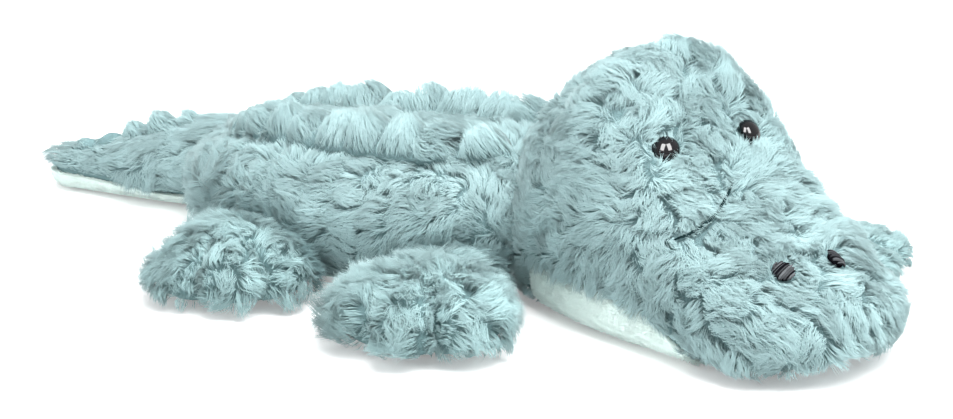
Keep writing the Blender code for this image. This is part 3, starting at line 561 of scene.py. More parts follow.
def strand_piece(name, root, middle, tip, thick, tone, normal, finish):
    """Fur as closed three-sided spindles: each has one corner at its root, three round its
    middle and one at its tip."""
    count = len(root)
    way = unit(tip - root)
    side = unit(np.cross(way, middle - root + np.array((1e-5, 2e-5, 0))))
    ring = circle_round(side, np.cross(way, side), 3, 0.5 * math.pi)
    mid = middle[:, None, :] + ring * (0.5 * thick)[:, None, None]
    points = np.concatenate([root[:, None, :], mid, tip[:, None, :]], axis=1)
    points[..., 2] = np.maximum(points[..., 2], 0.0003 + 0.0002 * np.arange(5) / 5)
    under = [[1 + (k + 1) % 3, 1 + k, 0] for k in range(3)]
    over = [[1 + k, 1 + (k + 1) % 3, 4] for k in range(3)]
    faces = 5 * np.arange(count)[:, None, None] + np.array(under + over)[None]
    marks = {"reach": np.tile(np.array((0, 0.5, 0.5, 0.5, 1.0)), count), "tone": np.repeat(tone, 5)}
    return new_piece(name, (points.reshape(-1, 3), faces.reshape(-1, 3)), finish, marks=marks,
                     corner_map=strand_map(count), shading=np.repeat(normal, 5, axis=0))


def laid_out(root, count):
    """An order that keeps neighbours together: cut into rows across, each row sorted along."""
    rows = int(math.ceil(math.sqrt(count)))
    order = np.argsort(root[:, 0] + 0.7 * root[:, 2], kind="stable")
    row = np.empty(count, dtype=np.int64)
    row[order] = np.arange(count) // rows
    return np.lexsort((root[:, 1], row))


def grow_fur(name, surface, finish, body, settings, seed, flow, keep, length=1.0, mess=1.0, density=1.0,
             rise=1.0, lay=9.0, clump=None, gather=0.24, fine=1.0, shade=None, low=0.018, most=31000):
    """Fur over a surface. Roots are spread by area; each strand starts out from the skin,
    then lies along the flow, which wanders smoothly. The strands of a lock share a small turn
    and those of a tuft a larger one, a lift and a length, and they lean to the tuft's mean
    path by the share gather, so soft hollows open between the tufts. Shade is painted into
    the strands' tone: painted shade darkens them below the height low, near the floor, and
    where shade says so, beside other parts, pulling them toward the root colour."""
    points, triangles = surface
    normal_at = normals_of(points, triangles)
    rng = np.random.default_rng(seed)
    a, b, c = (points[triangles[:, k]] for k in range(3))
    area = 0.5 * np.linalg.norm(np.cross(b - a, c - a), axis=1)
    area *= keep((a + b + c) / 3, unit(normal_at[triangles].sum(axis=1))) > 0
    total = np.cumsum(area)
    count = int(total[-1] * 1e6 * settings.density * density)
    chosen = np.minimum(np.searchsorted(total, rng.random(count) * total[-1]), len(area) - 1)
    u, v = rng.random((2, count))
    u, v = np.where(u + v > 1, 1 - u, u), np.where(u + v > 1, 1 - v, v)
    weight = np.stack([1 - u - v, u, v], axis=1)[:, :, None]
    root = (points[triangles[chosen]] * weight).sum(axis=1)
    normal = unit((normal_at[triangles[chosen]] * weight).sum(axis=1))
    grown = keep(root, normal)
    kept = grown > 0.05
    root, normal, grown = root[kept], normal[kept], grown[kept]
    count = len(root)

    lock = tufts_at(root, fine * settings.lock_size, seed)
    tuft = tufts_at(root, fine * settings.tuft_size, seed + 1) if clump is None else clump(root)
    of_lock = rng.random((lock.max() + 1, 4))[lock]
    of_tuft = rng.random((tuft.max() + 1, 4))[tuft]
    stray = 0.65 * wander(root, 0.022, seed + 2) + 0.60 * wander(root, 0.009, seed + 3)
    way = flow(root) + mess * stray
    way = unit(way - normal * (way * normal).sum(axis=1, keepdims=True))
    way = unit(0.5 * way + 0.5 * mean_of(way, lock))
    turn = mess * (1.5 * (of_tuft[:, 0] - 0.5) + 0.5 * (of_lock[:, 0] - 0.5))
    turn = turn + 0.18 * rng.standard_normal(count)
    side = np.cross(normal, way)
    way = way * np.cos(turn)[:, None] + side * np.sin(turn)[:, None]
    side = np.cross(normal, way)
    long = settings.length * length * grown * (0.77 + 0.12 * of_lock[:, 1] + 0.40 * of_tuft[:, 1])
    long = long * (0.82 + 0.36 * rng.random(count))
    lift = rise * (0.95 + 0.2 * of_lock[:, 2] + 0.7 * (of_tuft[:, 2] - 0.5))
    lift = lift + 0.12 * rng.standard_normal(count)
    bend = mess * (0.7 * (of_lock[:, 3] - 0.5) + 1.2 * (of_tuft[:, 1] - 0.5))
    bend = bend + 0.22 * rng.standard_normal(count)
    start = np.radians(50) * lift
    lay = np.radians(lay) * lift
    first = normal * np.sin(start)[:, None] + way * np.cos(start)[:, None]
    second = way * np.cos(bend)[:, None] + side * np.sin(bend)[:, None]
    second = normal * np.sin(lay)[:, None] + second * np.cos(lay)[:, None]
    middle = root + first * (0.46 * long)[:, None]
    tip = middle + second * (0.60 * long)[:, None]
    middle = middle + 0.15 * (mean_of(middle, lock) - middle)
    tip = tip + 0.10 * (1 + mess) * (mean_of(tip, lock) - tip)
    middle = middle + 0.3 * gather * (mean_of(middle, tuft) - middle)
    tip = tip + gather * (mean_of(tip, tuft) - tip)
    tip = tip + rng.standard_normal((count, 3)) * (0.045 * long)[:, None]
    root = root - normal * 0.0004
    thick = settings.strand_width * (0.75 + 0.5 * rng.random(count))
    tone = np.clip(0.5 + 0.34 * (of_lock[:, 1] - 0.5) + 0.30 * (of_tuft[:, 3] - 0.5)
                   + 0.22 * (rng.random(count) - 0.5) + 0.18 * noise(root, 0.03, seed + 9), 0, 1)
    # Painted shade: strands darken toward the floor below the height low, and by the painted shade that the
    # shade function gives.
    tone = tone * (0.3 + 0.7 * fade(root[:, 2], 0.002, low))
    if shade is not None:
        tone = tone - shade(root)
    parts = int(math.ceil(count / most))
    along = np.argsort(root[:, 1], kind="stable")
    made = []
    for number, some in enumerate(np.array_split(along, parts)):
        some = some[laid_out(root[some], len(some))]
        called = name if parts == 1 else f"{name}_{number + 1}"
        piece = strand_piece(called, root[some], middle[some], tip[some], thick[some], tone[some],
                             normal[some], finish)
        made.append(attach(piece, body))
    return made


def straight(way, place):
    """A flow in one direction of a piece's own frame."""
    return lambda points: turned(np.array(way) + 0 * points, place)


def segment_distance(points, line):
    """Distance from each point to a line of straight stretches, and the nearest point on it."""
    best = np.full(len(points), np.inf)
    nearest = np.zeros_like(points)
    for start, end in zip(line[:-1], line[1:]):
        along = np.clip(((points - start) @ (end - start)) / ((end - start) ** 2).sum(), 0, 1)
        place = start + along[:, None] * (end - start)
        distance = np.linalg.norm(points - place, axis=1)
        closer = distance < best
        best = np.where(closer, distance, best)
        nearest = np.where(closer[:, None], place, nearest)
    return best, nearest


# Finishes

def feed(tree, socket, value):
    """Links a socket to the one that it reads, or writes a plain value on it."""
    if isinstance(value, bpy.types.NodeSocket):
        tree.links.new(value, socket)
    else:
        socket.default_value = value


def calc(tree, operation, *values, clamp=False):
    """A Math node whose inputs are numbers or sockets; gives its output socket."""
    node = tree.nodes.new("ShaderNodeMath")
    node.operation = operation
    node.use_clamp = clamp
    for socket, value in zip(node.inputs, values):
        feed(tree, socket, value)
    return node.outputs[0]


def mixed(tree, share, first, second, way="MIX"):
    """A colour Mix node; gives its colour socket."""
    node = tree.nodes.new("ShaderNodeMix")
    node.data_type = "RGBA"
    node.blend_type = way
    for socket, value in zip((node.inputs[0], node.inputs[6], node.inputs[7]), (share, first, second)):
        feed(tree, socket, value)
    return node.outputs[2]


def group_of(name, inputs, outputs):
    """A new shader node group with named sockets, and its input and output nodes."""
    made = bpy.data.node_groups.new(name, "ShaderNodeTree")
    for socket, value in inputs.items():
        kind = "NodeSocketColor" if isinstance(value, tuple) else "NodeSocketFloat"
        made.interface.new_socket(socket, in_out="INPUT", socket_type=kind).default_value = value
    for socket in outputs:
        kind = "NodeSocketColor" if socket == "Colour" else "NodeSocketFloat"
        made.interface.new_socket(socket, in_out="OUTPUT", socket_type=kind)
    return made, made.nodes.new("NodeGroupInput").outputs, made.nodes.new("NodeGroupOutput").inputs


def noise_in(tree, scale, detail=2.0):
    """A noise over the object's own coordinates; gives its number socket."""
    node = tree.nodes.new("ShaderNodeTexNoise")
    node.inputs["Detail"].default_value = detail
    tree.links.new(tree.nodes.new("ShaderNodeTexCoord").outputs["Object"], node.inputs["Vector"])
    feed(tree, node.inputs["Scale"], scale)
    return node.outputs[0]


def dye_dapple(name):
    """Soft light and dark patches in a dyed cloth: a colour times 1 plus or minus a noise."""
    made, given, result = group_of(name, {"Colour": (0.5, 0.5, 0.5, 1.0), "Scale": 40.0, "Strength": 0.15},
                                   ("Colour",))
    swing = calc(made, "SUBTRACT", noise_in(made, given["Scale"], 3.0), 0.5)
    factor = calc(made, "MULTIPLY_ADD", calc(made, "MULTIPLY", swing, given["Strength"]), 2.0, 1.0)
    grey = made.nodes.new("ShaderNodeCombineColor")
    for socket in grey.inputs:
        made.links.new(factor, socket)
    made.links.new(mixed(made, 1.0, given["Colour"], grey.outputs[0], "MULTIPLY"), result["Colour"])
    return made


def short_pile(name):
    """The nap of a short pile: two fine noises added, as a height, and the finer one alone."""
    made, given, result = group_of(name, {"Scale": 900.0, "Coarse": 0.5}, ("Height", "Nap"))
    fine = noise_in(made, given["Scale"], 4.0)
    coarse = noise_in(made, calc(made, "MULTIPLY", given["Scale"], 0.12))
    made.links.new(calc(made, "MULTIPLY_ADD", coarse, given["Coarse"], fine), result["Height"])
    made.links.new(fine, result["Nap"])
    return made


def group_node(tree, make, **values):
    """A shared node group in a material, made at its first use, with values on its sockets."""
    node = tree.nodes.new("ShaderNodeGroup")
    node.node_tree = bpy.data.node_groups.get(make.__name__) or make(make.__name__)
    for name, value in values.items():
        feed(tree, node.inputs[name], value)
    return node


def finish_of(name, rough, specular=0.10, sheen=0.0, tint=(1, 1, 1, 1)):
    """A new Principled material with plain numbers on its own sockets, and its tree and shader."""
    made = bpy.data.materials.new(name)
    made.use_nodes = True
    shader = made.node_tree.nodes["Principled BSDF"]
    for socket, value in (("Roughness", rough), ("Specular IOR Level", specular), ("Sheen Weight", sheen),
                          ("Sheen Tint", tint)):
        shader.inputs[socket].default_value = value
    return made, made.node_tree, shader


def dyed(tree, shader, colour, scale, strength):
    """A colour through the dapple group into the shader's base colour."""
    node = group_node(tree, dye_dapple, Colour=colour, Scale=scale, Strength=strength)
    tree.links.new(node.outputs["Colour"], shader.inputs["Base Color"])


def napped(tree, shader, scale, coarse, strength, distance):
    """The pile group through a Bump node into the shader's normal; gives the nap's socket."""
    node = group_node(tree, short_pile, Scale=scale, Coarse=coarse)
    bump = tree.nodes.new("ShaderNodeBump")
    bump.inputs["Strength"].default_value = strength
    bump.inputs["Distance"].default_value = distance
    tree.links.new(node.outputs["Height"], bump.inputs["Height"])
    tree.links.new(bump.outputs[0], shader.inputs["Normal"])
    return node.outputs["Nap"]


def mark_of(tree, name):
    """The socket of a number that a mesh's points carry."""
    node = tree.nodes.new("ShaderNodeAttribute")
    node.attribute_name = name
    return node.outputs["Fac"]


def fur_finish(name, root, tip):
    """Dyed pile: dark at the skin, pale at the tips, each lock a little lighter or darker. The tone mark also
    carries painted shade, which darkens strands toward the root colour.
    """
    made, tree, shader = finish_of(name, rough=0.62, sheen=0.25, tint=(0.85, 1.0, 1.0, 1.0))
    share = calc(tree, "MULTIPLY", calc(tree, "POWER", mark_of(tree, "reach"), 0.8), 0.75)
    share = calc(tree, "MULTIPLY_ADD", mark_of(tree, "tone"), 0.5, share)
    share = calc(tree, "SUBTRACT", share, 0.2, clamp=True)
    dyed(tree, shader, mixed(tree, share, root, tip), scale=28.0, strength=0.16)
    return made


def plain_finish(name, colour, rough, dapple, nap):
    """One colour with soft patches and a nap."""
    made, tree, shader = finish_of(name, rough)
    dyed(tree, shader, colour, **dapple)
    napped(tree, shader, **nap)
    return made


def skin_finish(name, colour):
    """The knitted backing that the fur grows from: partly its own colour, partly painted shade, kept dark so
    that the gaps between the strands read as shade.
    """
    return plain_finish(name, colour, rough=0.95, dapple={"scale": 60.0, "strength": 0.3},
                        nap={"scale": 1400.0, "coarse": 0.6, "strength": 0.8, "distance": 0.0008})


def cloth_finish(name, colour, shade):
    """Short smooth plush: pale, soft at grazing angles, with a fine nap."""
    made, tree, shader = finish_of(name, rough=0.9, sheen=0.5, tint=(0.9, 1.0, 0.97, 1.0))
    nap = napped(tree, shader, scale=1700.0, coarse=0.9, strength=0.5, distance=0.0006)
    share = calc(tree, "MULTIPLY_ADD", nap, 1.6, -0.35, clamp=True)
    dyed(tree, shader, mixed(tree, share, shade, colour), scale=160.0, strength=0.18)
    return made


def thread_finish(name, colour, glint_colour):
    """Embroidery thread: dark, with some stitches painted paler as painted highlights, where satin thread
    would catch the light.
    """
    made, tree, shader = finish_of(name, rough=0.45, specular=0.0)
    colour = mixed(tree, mark_of(tree, "glint"), colour, glint_colour)
    dyed(tree, shader, colour, scale=500.0, strength=0.4)
    napped(tree, shader, scale=3000.0, coarse=0.3, strength=0.4, distance=0.0002)
    return made


def eye_finish(name, colour):
    """Hard black plastic under a clear gloss, with the faintest uneven polish."""
    made, tree, shader = finish_of(name, rough=0.06, specular=0.35)
    dyed(tree, shader, colour, scale=300.0, strength=0.3)
    nap = group_node(tree, short_pile, Scale=250.0).outputs["Nap"]
    tree.links.new(calc(tree, "MULTIPLY_ADD", nap, 0.05, 0.03), shader.inputs["Roughness"])
    return made


def seen_directly(tree):
    """1 for rays from the camera, off a gloss or through glass, else 0."""
    path = tree.nodes.new("ShaderNodeLightPath")
    seen = calc(tree, "MAXIMUM", path.outputs["Is Camera Ray"], path.outputs["Is Glossy Ray"])
    return calc(tree, "MAXIMUM", seen, path.outputs["Is Transmission Ray"])


def floor_finish(colour):
    """A pale floor that takes shadows and glows out to plain white far from the object."""
    made, tree, shader = finish_of("floor_pale", rough=1.0, specular=0.0)
    shader.inputs["Base Color"].default_value = colour
    far = tree.nodes.new("ShaderNodeVectorMath")
    far.operation = "LENGTH"
    tree.links.new(tree.nodes.new("ShaderNodeTexCoord").outputs["Object"], far.inputs[0])
    reach = tree.nodes.new("ShaderNodeMapRange")
    reach.interpolation_type = "SMOOTHSTEP"
    for socket, value in (("Value", far.outputs["Value"]), ("From Min", 0.30), ("From Max", 1.10),
                          ("To Min", 0.28), ("To Max", 1.0)):
        feed(tree, reach.inputs[socket], value)
    glow = tree.nodes.new("ShaderNodeEmission")
    strength = calc(tree, "MULTIPLY", seen_directly(tree), reach.outputs["Result"])
    tree.links.new(strength, glow.inputs["Strength"])
    both = tree.nodes.new("ShaderNodeAddShader")
    tree.links.new(shader.outputs[0], both.inputs[0])
    tree.links.new(glow.outputs[0], both.inputs[1])
    tree.links.new(both.outputs[0], tree.nodes["Material Output"].inputs["Surface"])
    return made


# Settings

def number_of(name, about, value, most, **kind):
    """A number from 0 up."""
    return bpy.props.FloatProperty(name=name, description=about, default=value, min=0.0, max=most, **kind)


def length_of(name, about, value, most):
    """A length in metres."""
    return number_of(name, about, value, most, subtype="DISTANCE", unit="LENGTH", precision=5)


def power_of(name, about, value):
    """A lamp's power in watts."""
    return number_of(name, about + ", in watts", value, 200.0, unit="POWER")


def colour_of(name, about, red, green, blue):
    """A colour."""
    return bpy.props.FloatVectorProperty(name=name, description=about, default=(red, green, blue, 1.0),
                                         size=4, min=0.0, max=1.0, subtype="COLOR")


class FurSettings(bpy.types.PropertyGroup):
    """Sizes and colours of the fur."""
    length: length_of("Length", "Length of the fur on the body", 0.0105, 0.05)
    foot_length: length_of("Foot length", "Length of the fur on the feet", 0.0120, 0.05)
    strand_width: length_of("Strand width", "Thickness of a strand at its middle", 0.00030, 0.003)
    lock_size: length_of("Lock size", "Width of a lock of strands", 0.0036, 0.02)
    tuft_size: length_of("Tuft size", "Width of a tuft of locks", 0.0115, 0.05)
    density: number_of("Density", "Strands on a square millimetre of skin", 2.3, 4.0)
    skin_inset: length_of("Skin inset", "How far the skin lies inside the sewn form", 0.0022, 0.01)
    root_colour: colour_of("Root colour", "Colour of the fur at the skin", 0.225, 0.342, 0.352)
    tip_colour: colour_of("Tip colour", "Colour of the fur at its tips", 0.425, 0.608, 0.620)
    foot_root_colour: colour_of("Foot root colour", "Colour of the feet's fur at the skin", 0.15, 0.252, 0.26)
    foot_tip_colour: colour_of("Foot tip colour", "Colour of the feet's fur at its tips", 0.47, 0.682, 0.692)
    # The backing's colour is partly its own and partly painted shade between the strands.
    skin_colour: colour_of("Skin colour", "Colour of the backing under the fur", 0.160, 0.260, 0.270)


class ClothSettings(bpy.types.PropertyGroup):
    """Colours and lumps of the pale cloth panels."""
    colour: colour_of("Colour", "Colour of the pale cloth", 0.800, 0.940, 0.900)
    shade: colour_of("Shade", "Colour between the cloth's fibres", 0.690, 0.850, 0.805)
    pile_length: length_of("Pile length", "Length of the pale panels' short pile", 0.0019, 0.01)
    lump: length_of("Lump", "Height of the soft lumps that the stuffing makes", 0.0010, 0.01)


class FaceSettings(bpy.types.PropertyGroup):
    """The eyes, nostrils and smile crease."""
    eye_colour: colour_of("Eye colour", "Colour of the eyes", 0.004, 0.004, 0.005)
    # Partly the thread's own colour, partly painted shade: the dark teal line also stands in for the shade in
    # the crease's fold.
    smile_colour: colour_of("Smile thread", "Colour of the thread in the smile crease", 0.012, 0.028, 0.030)
    thread_colour: colour_of("Thread colour", "Colour of the embroidery", 0.006, 0.006, 0.008)
    # Painted highlight: the pale colour that some stitches take, where the satin thread would catch the
    # light.
    glint_colour: colour_of("Glint colour", "Colour of the embroidery's worn threads", 0.150, 0.160, 0.170)
    thread_width: length_of("Thread width", "Thickness of the embroidery thread", 0.00075, 0.003)


class StageSettings(bpy.types.PropertyGroup):
    """The floor and the lights."""
    sky: number_of("Sky", "Strength of the plain light from all round", 0.44, 4.0)
    side_power: power_of("Side lamps", "Power of each side lamp", 5.0)
    glint_power: power_of("Glint lamps", "Power of each lamp seen in the eyes", 45.0)
    top_power: power_of("Top lamp", "Power of the top lamp", 40.0)
    back_power: power_of("Back lamp", "Power of the lamp behind the toy", 9.0)
    floor_colour: colour_of("Floor colour", "Colour of the floor", 0.88, 0.88, 0.88)


# Pieces

def fur_finishes(settings):
    """The body fur's and the backing's finishes, made at their first use."""
    known = bpy.data.materials
    return (known.get("pile_teal") or fur_finish("pile_teal", settings.root_colour, settings.tip_colour),
            known.get("pile_backing") or skin_finish("pile_backing", settings.skin_colour))


def beside(share, wide=1.3):
    """1 on a form's skin and 0 well away from it, from a depth share."""
    return 1 - fade(share, 0.9, wide)


def body_shade(points):
    """Painted shade on the body's fur: darker low on the flanks, and darker still beside the legs and the
    head, where shade falls.
    """
    low = 1 - fade(points[:, 2], 0.020, 0.055)
    by_legs = beside(leg_depth(points, 0.008)) * fade(0.06 - points[:, 2], 0.0, 0.03)
    return 1.1 * by_legs + 0.6 * beside(depth_in(HEAD, points, 0.006)) * low + 0.35 * low


def body_keep(points, normal):
    """How long the body's fur is: none on the sole and inside its neighbours."""
    keep = fade(points[:, 2] - 3e-3 * (normal[:, 2] > -0.5), 0.002, 0.007)
    keep *= normal[:, 2] > -0.75
    keep *= depth_in(HEAD, points, -0.006) > 1
    keep *= depth_in(TAIL, points, -0.005) > 1
    keep *= leg_depth(points, -0.005) > 1
    keep *= 0.55 + 0.45 * fade(leg_depth(points, 0.003), 0.95, 1.25)
    edge = np.min([segment_distance(points, line)[0] for line in ridge_edges()], axis=0)
    return keep * (0.5 + 0.5 * fade(edge, 0.001, 0.007)) * (0.78 + 0.22 * flank_ripple(points))


def ridge_lines():
    """The two back ridges: places along the body, its middle there and their distance from it."""
    along = np.linspace(BODY_FRONT + 0.120 * BODY_LENGTH, BODY_FRONT + 0.965 * BODY_LENGTH, 120)
    spread = RIDGE_SPREAD / 2 * curve_through((along - BODY_FRONT) / BODY_LENGTH, *RIDGE_PATH_SHARES.T)
    return along, BODY.at(along)[0], spread


def ridge_edges():
    """Where the ridges' outer sides meet the back: a few points along each."""
    along, across, spread = (line[::9] for line in ridge_lines())
    out = spread + 0.46 * RIDGE_WIDTH
    return [np.stack([across + side * out, along, BODY.skin_height(out, along)], axis=1) for side in (-1, 1)]


def flank_ripple(points):
    """Soft upright folds down the flanks: a sine along the body, bent by a noise."""
    swing = 1.6 * noise(points, 0.03, 301)
    flank = fade(abs(points[:, 0]), 0.02, 0.04) * (0.3 + 0.7 * fade(points[:, 1], -0.03, 0.03))
    return flank * np.sin(2 * math.pi * points[:, 1] / FLANK_FOLD_SPACING + swing)


def body_flow(points):
    """The body's fur lies back toward the tail, and down its flanks beside the front legs."""
    way = np.array((0.0, 0.70, 0.45)) + 0 * points
    way[:, 2] -= 0.90 * (1 - fade(points[:, 1], -0.03, 0.03))
    return way


class CROC_OT_body(bpy.types.Operator):
    """The stuffed body's skin and fur"""
    bl_idname = "croc.body"
    bl_label = "Body"

    def execute(self, context):
        fur = context.scene.croc_fur
        furry, backing = fur_finishes(fur)
        surface = surface_of(BODY.grown(-fur.skin_inset).grid(sides=72, low=BELLY_SEAM_HEIGHT))
        surface = swollen(surface, depth=0.0016, size=0.016, seed=11, floor=BELLY_SEAM_HEIGHT)
        fold = FLANK_FOLD * flank_ripple(surface[0]) * fade(surface[0][:, 2], BELLY_SEAM_HEIGHT, 0.025)
        surface = pushed(surface, fold)
        padded_skin("body_skin", surface, backing, "body", ("body_cover", "body_stuffing"))
        grow_fur("body_fur", surface, furry, "body", fur, 21, body_flow, body_keep,
                 mess=1.1, lay=15.0, gather=0.24, fine=0.88, shade=body_shade)
        return {"FINISHED"}


class CROC_OT_ridges(bpy.types.Operator):
    """The two tufted ridges along the back and the one along the tail"""
    bl_idname = "croc.ridges"
    bl_label = "Ridges"

    def execute(self, context):
        fur = context.scene.croc_fur
        furry, backing = fur_finishes(fur)
        along, across, spread = ridge_lines()
        strips = [(node, "body", BODY_PLACE, RIDGE_TUFTS, start, strip_form(
            along, across + side * spread, BODY.skin_height(spread, along), RIDGE_WIDTH, RIDGE_RISE,
            RIDGE_TUFT, RIDGE_TUFTS, start))
            for node, side, start in (("back_ridge_right", -1, -0.25), ("back_ridge_left", 1, 0.25))]
        along = np.linspace(0.14 * TAIL_LENGTH, 0.93 * TAIL_LENGTH, 60)
        strips.append(("tail_ridge", "tail", TAIL_PLACE, TAIL_RIDGE_TUFTS, 0, strip_form(
            along, 0, TAIL.at(along)[2], TAIL_RIDGE_WIDTH, TAIL_RIDGE_RISE, TAIL_RIDGE_TUFT,
            TAIL_RIDGE_TUFTS, 0)))
        for number, (node, body, place, tufts, start, form) in enumerate(strips):
            surface = surface_of(placed(form.grown(-RIDGE_INSET).grid(sides=24), place))
            padded_skin(node + "_skin", surface, backing, body, (node,))
            share = np.linspace(0, 1, len(form.along))
            heights = 0.85 + 0.30 * np.random.default_rng(95 + number).random(tufts + 4)

            def tuft_at(at):
                place_share = np.interp(unplaced(at, place)[:, 1], form.along, share)
                return tufts * place_share + start + 1 + 0.22 * noise(at, 0.012, 90 + number)

            def clump(at):
                return np.floor(tuft_at(at)).astype(int)

            def keep(at, normal):
                waves = 0.30 + 0.85 * abs(np.sin(math.pi * tuft_at(at))) ** 1.2
                kept = heights[clump(at)] * (normal[:, 2] > -0.05) * waves
                if body == "body":
                    ahead = 1 - fade(at[:, 1], -0.02, 0.01)
                    kept = kept * (0.90 - 0.40 * fade(at[:, 1], 0.035, 0.075) + 0.40 * ahead)
                else:
                    back = unplaced(at, place)[:, 1]
                    kept = kept * (0.78 - 0.62 * fade(back, 0.50 * TAIL_LENGTH, 0.68 * TAIL_LENGTH))
                return kept * (depth_in(HEAD, at, -0.006) > 1)

            grow_fur(node + "_fur", surface, furry, body, fur, 41 + number, straight((0.0, 0.8, 0.5), place),
                     keep, mess=0.9, rise=1.15, lay=26.0, clump=clump, gather=0.50)
        return {"FINISHED"}


def face_points():
    """Side, place ahead and radius of each eye and nostril, in the head's frame."""
    return [(side * spread / 2, forward, size / 2) for side in (-1, 1)
            for spread, forward, size in ((EYE_SPREAD, EYE_FORWARD, EYE_DIAMETER),
                                          (NOSTRIL_SPREAD, NOSTRIL_FORWARD, NOSTRIL_HEIGHT))]


def head_seat(across, ahead):
    """A place on the head's skin and its outward direction, in the head's frame: the skin's
    height and its slopes to the side and ahead."""
    def height(side, forward):
        return HEAD.skin_height(abs(side), -forward)

    step = 0.0003
    slope_side = (height(across + step, ahead) - height(across - step, ahead)) / (2 * step)
    slope_ahead = (height(across, ahead + step) - height(across, ahead - step)) / (2 * step)
    return np.array((across, -ahead, height(across, ahead))), unit(np.array((-slope_side, slope_ahead, 1.0)))


def crease_lines():
    """The smile crease on both cheeks, in the head's frame."""
    line = CREASE * (1, -1, 1)
    return line, line * (-1, 1, 1)


def chin_seam(ahead, elsewhere=None):
    """Height of the seam between the head's cover and the chin panel, and another height
    where there is no chin panel."""
    places, heights = CHIN_SEAM_SHARES.T
    seam = np.interp(ahead, HEAD_REACH * places, HEAD_HEIGHT * heights)
    if elsewhere is None:
        return seam
    return np.where((ahead > 0) & (ahead < HEAD_REACH * places[-1]), seam, elsewhere)


def head_keep(points, normal):
    """How long the head's fur is: short round the eyes, nostrils and smile crease, none on
    the pale chin and inside the body."""
    local = unplaced(points, HEAD_PLACE)
    seam = chin_seam(-local[:, 1], 0.002)
    keep = fade(points[:, 2], seam + 0.0003, seam + 0.004)
    keep *= normal[:, 2] > -0.75
    keep *= depth_in(BODY, points, -0.006) > 1
    _, far_place, reach, tall = LEGS[1]
    keep *= limb_depth_share(unplaced(points, far_place), reach, tall, 0.002) > 1
    for side, forward, radius in face_points():
        away = np.linalg.norm(local - head_seat(side, forward)[0], axis=1)
        clear = radius + 0.002 * (forward == NOSTRIL_FORWARD)
        keep *= (away > radius * 0.88) * (0.42 + 0.58 * fade(away, clear, clear + 0.007))
    away, _ = segment_distance(local, crease_lines()[0])
    keep *= (away > 0.0015) * (0.30 + 0.70 * fade(away, 0.001, 0.0070))
    keep *= 1 - 0.3 * fade(local[:, 1], -0.03, 0.01)
    keep *= 0.55 + 0.45 * fade(points[:, 2], 0.004, 0.020)
    return keep * (1 - 0.25 * fade(local[:, 0], 0.035, 0.055))


def head_flow(points):
    """The head's fur lies up and back over the crown, back along the cheeks and forward down
    the snout, and parts round the eyes, the nostrils and the smile crease."""
    local = unplaced(points, HEAD_PLACE)
    ahead = -local[:, 1] / HEAD_REACH
    crown = fade(local[:, 2], 0.070, 0.086)
    cheek = fade(abs(local[:, 0]), 0.030, 0.045) * (1 - fade(ahead, 0.35, 0.55)) * (1 - crown)
    snout = np.stack([0.55 * local[:, 0] / (HEAD_WIDTH / 2), -0.30 - 0.5 * fade(ahead, 0.2, 0.7),
                      -0.55 + 0 * ahead], axis=1)
    way = snout + crown[:, None] * (np.array((0.0, 0.65, 0.55)) - snout)
    way = way + cheek[:, None] * (np.array((0.0, 0.60, -0.25)) - way)
    hang = fade(local[:, 1], -0.020, -0.006) * (1 - fade(local[:, 2], 0.022, 0.040))
    way = way + hang[:, None] * (np.array((0.0, 0.10, -1.20)) - way)
    for side, forward, radius in face_points():
        off = local - head_seat(side, forward)[0]
        away = np.linalg.norm(off, axis=1, keepdims=True)
        lid = fade(abs(off @ UP_THE_FACE)[:, None] / away, 0.45, 0.80) * (forward == EYE_FORWARD)
        way = way + (2.6 - 7.4 * lid) * off / away * np.exp(-((away - radius) / 0.006) ** 2)
    line = crease_lines()[0]
    away, nearest = segment_distance(local, line)
    to_ends = np.min([np.linalg.norm(nearest - end, axis=1) for end in (line[0], line[-1])], axis=0)
    parted = 1.2 * fade(to_ends, 0.0, 0.004) * np.exp(-(away / 0.004) ** 2)
    return turned(way + parted[:, None] * unit(local - nearest), HEAD_PLACE)


class CROC_OT_head(bpy.types.Operator):
    """The stuffed head's skin and fur"""
    bl_idname = "croc.head"
    bl_label = "Head"

    def execute(self, context):
        fur = context.scene.croc_fur
        furry, backing = fur_finishes(fur)
        form = HEAD.grown(-fur.skin_inset)
        surface = surface_of(placed(form.grid(sides=96, low=chin_seam(-form.along, 0.0006)), HEAD_PLACE))
        surface = swollen(surface, depth=0.0018, size=0.018, seed=12)
        local = unplaced(surface[0], HEAD_PLACE)
        inward = 0.0006 * fade(local[:, 1], -0.03, 0.005) + 0.0006 * fade(local[:, 0], 0.015, 0.035)
        surface = pushed(surface, -inward * fade(local[:, 2], 0.045, 0.075))
        padded_skin("head_skin", surface, backing, "head", ("head_cover", "head_stuffing"))
        grow_fur("head_fur", surface, furry, "head", fur, 22, head_flow, head_keep,
                 mess=1.35, rise=1.1, lay=15.0, gather=0.28, fine=0.9)
        return {"FINISHED"}


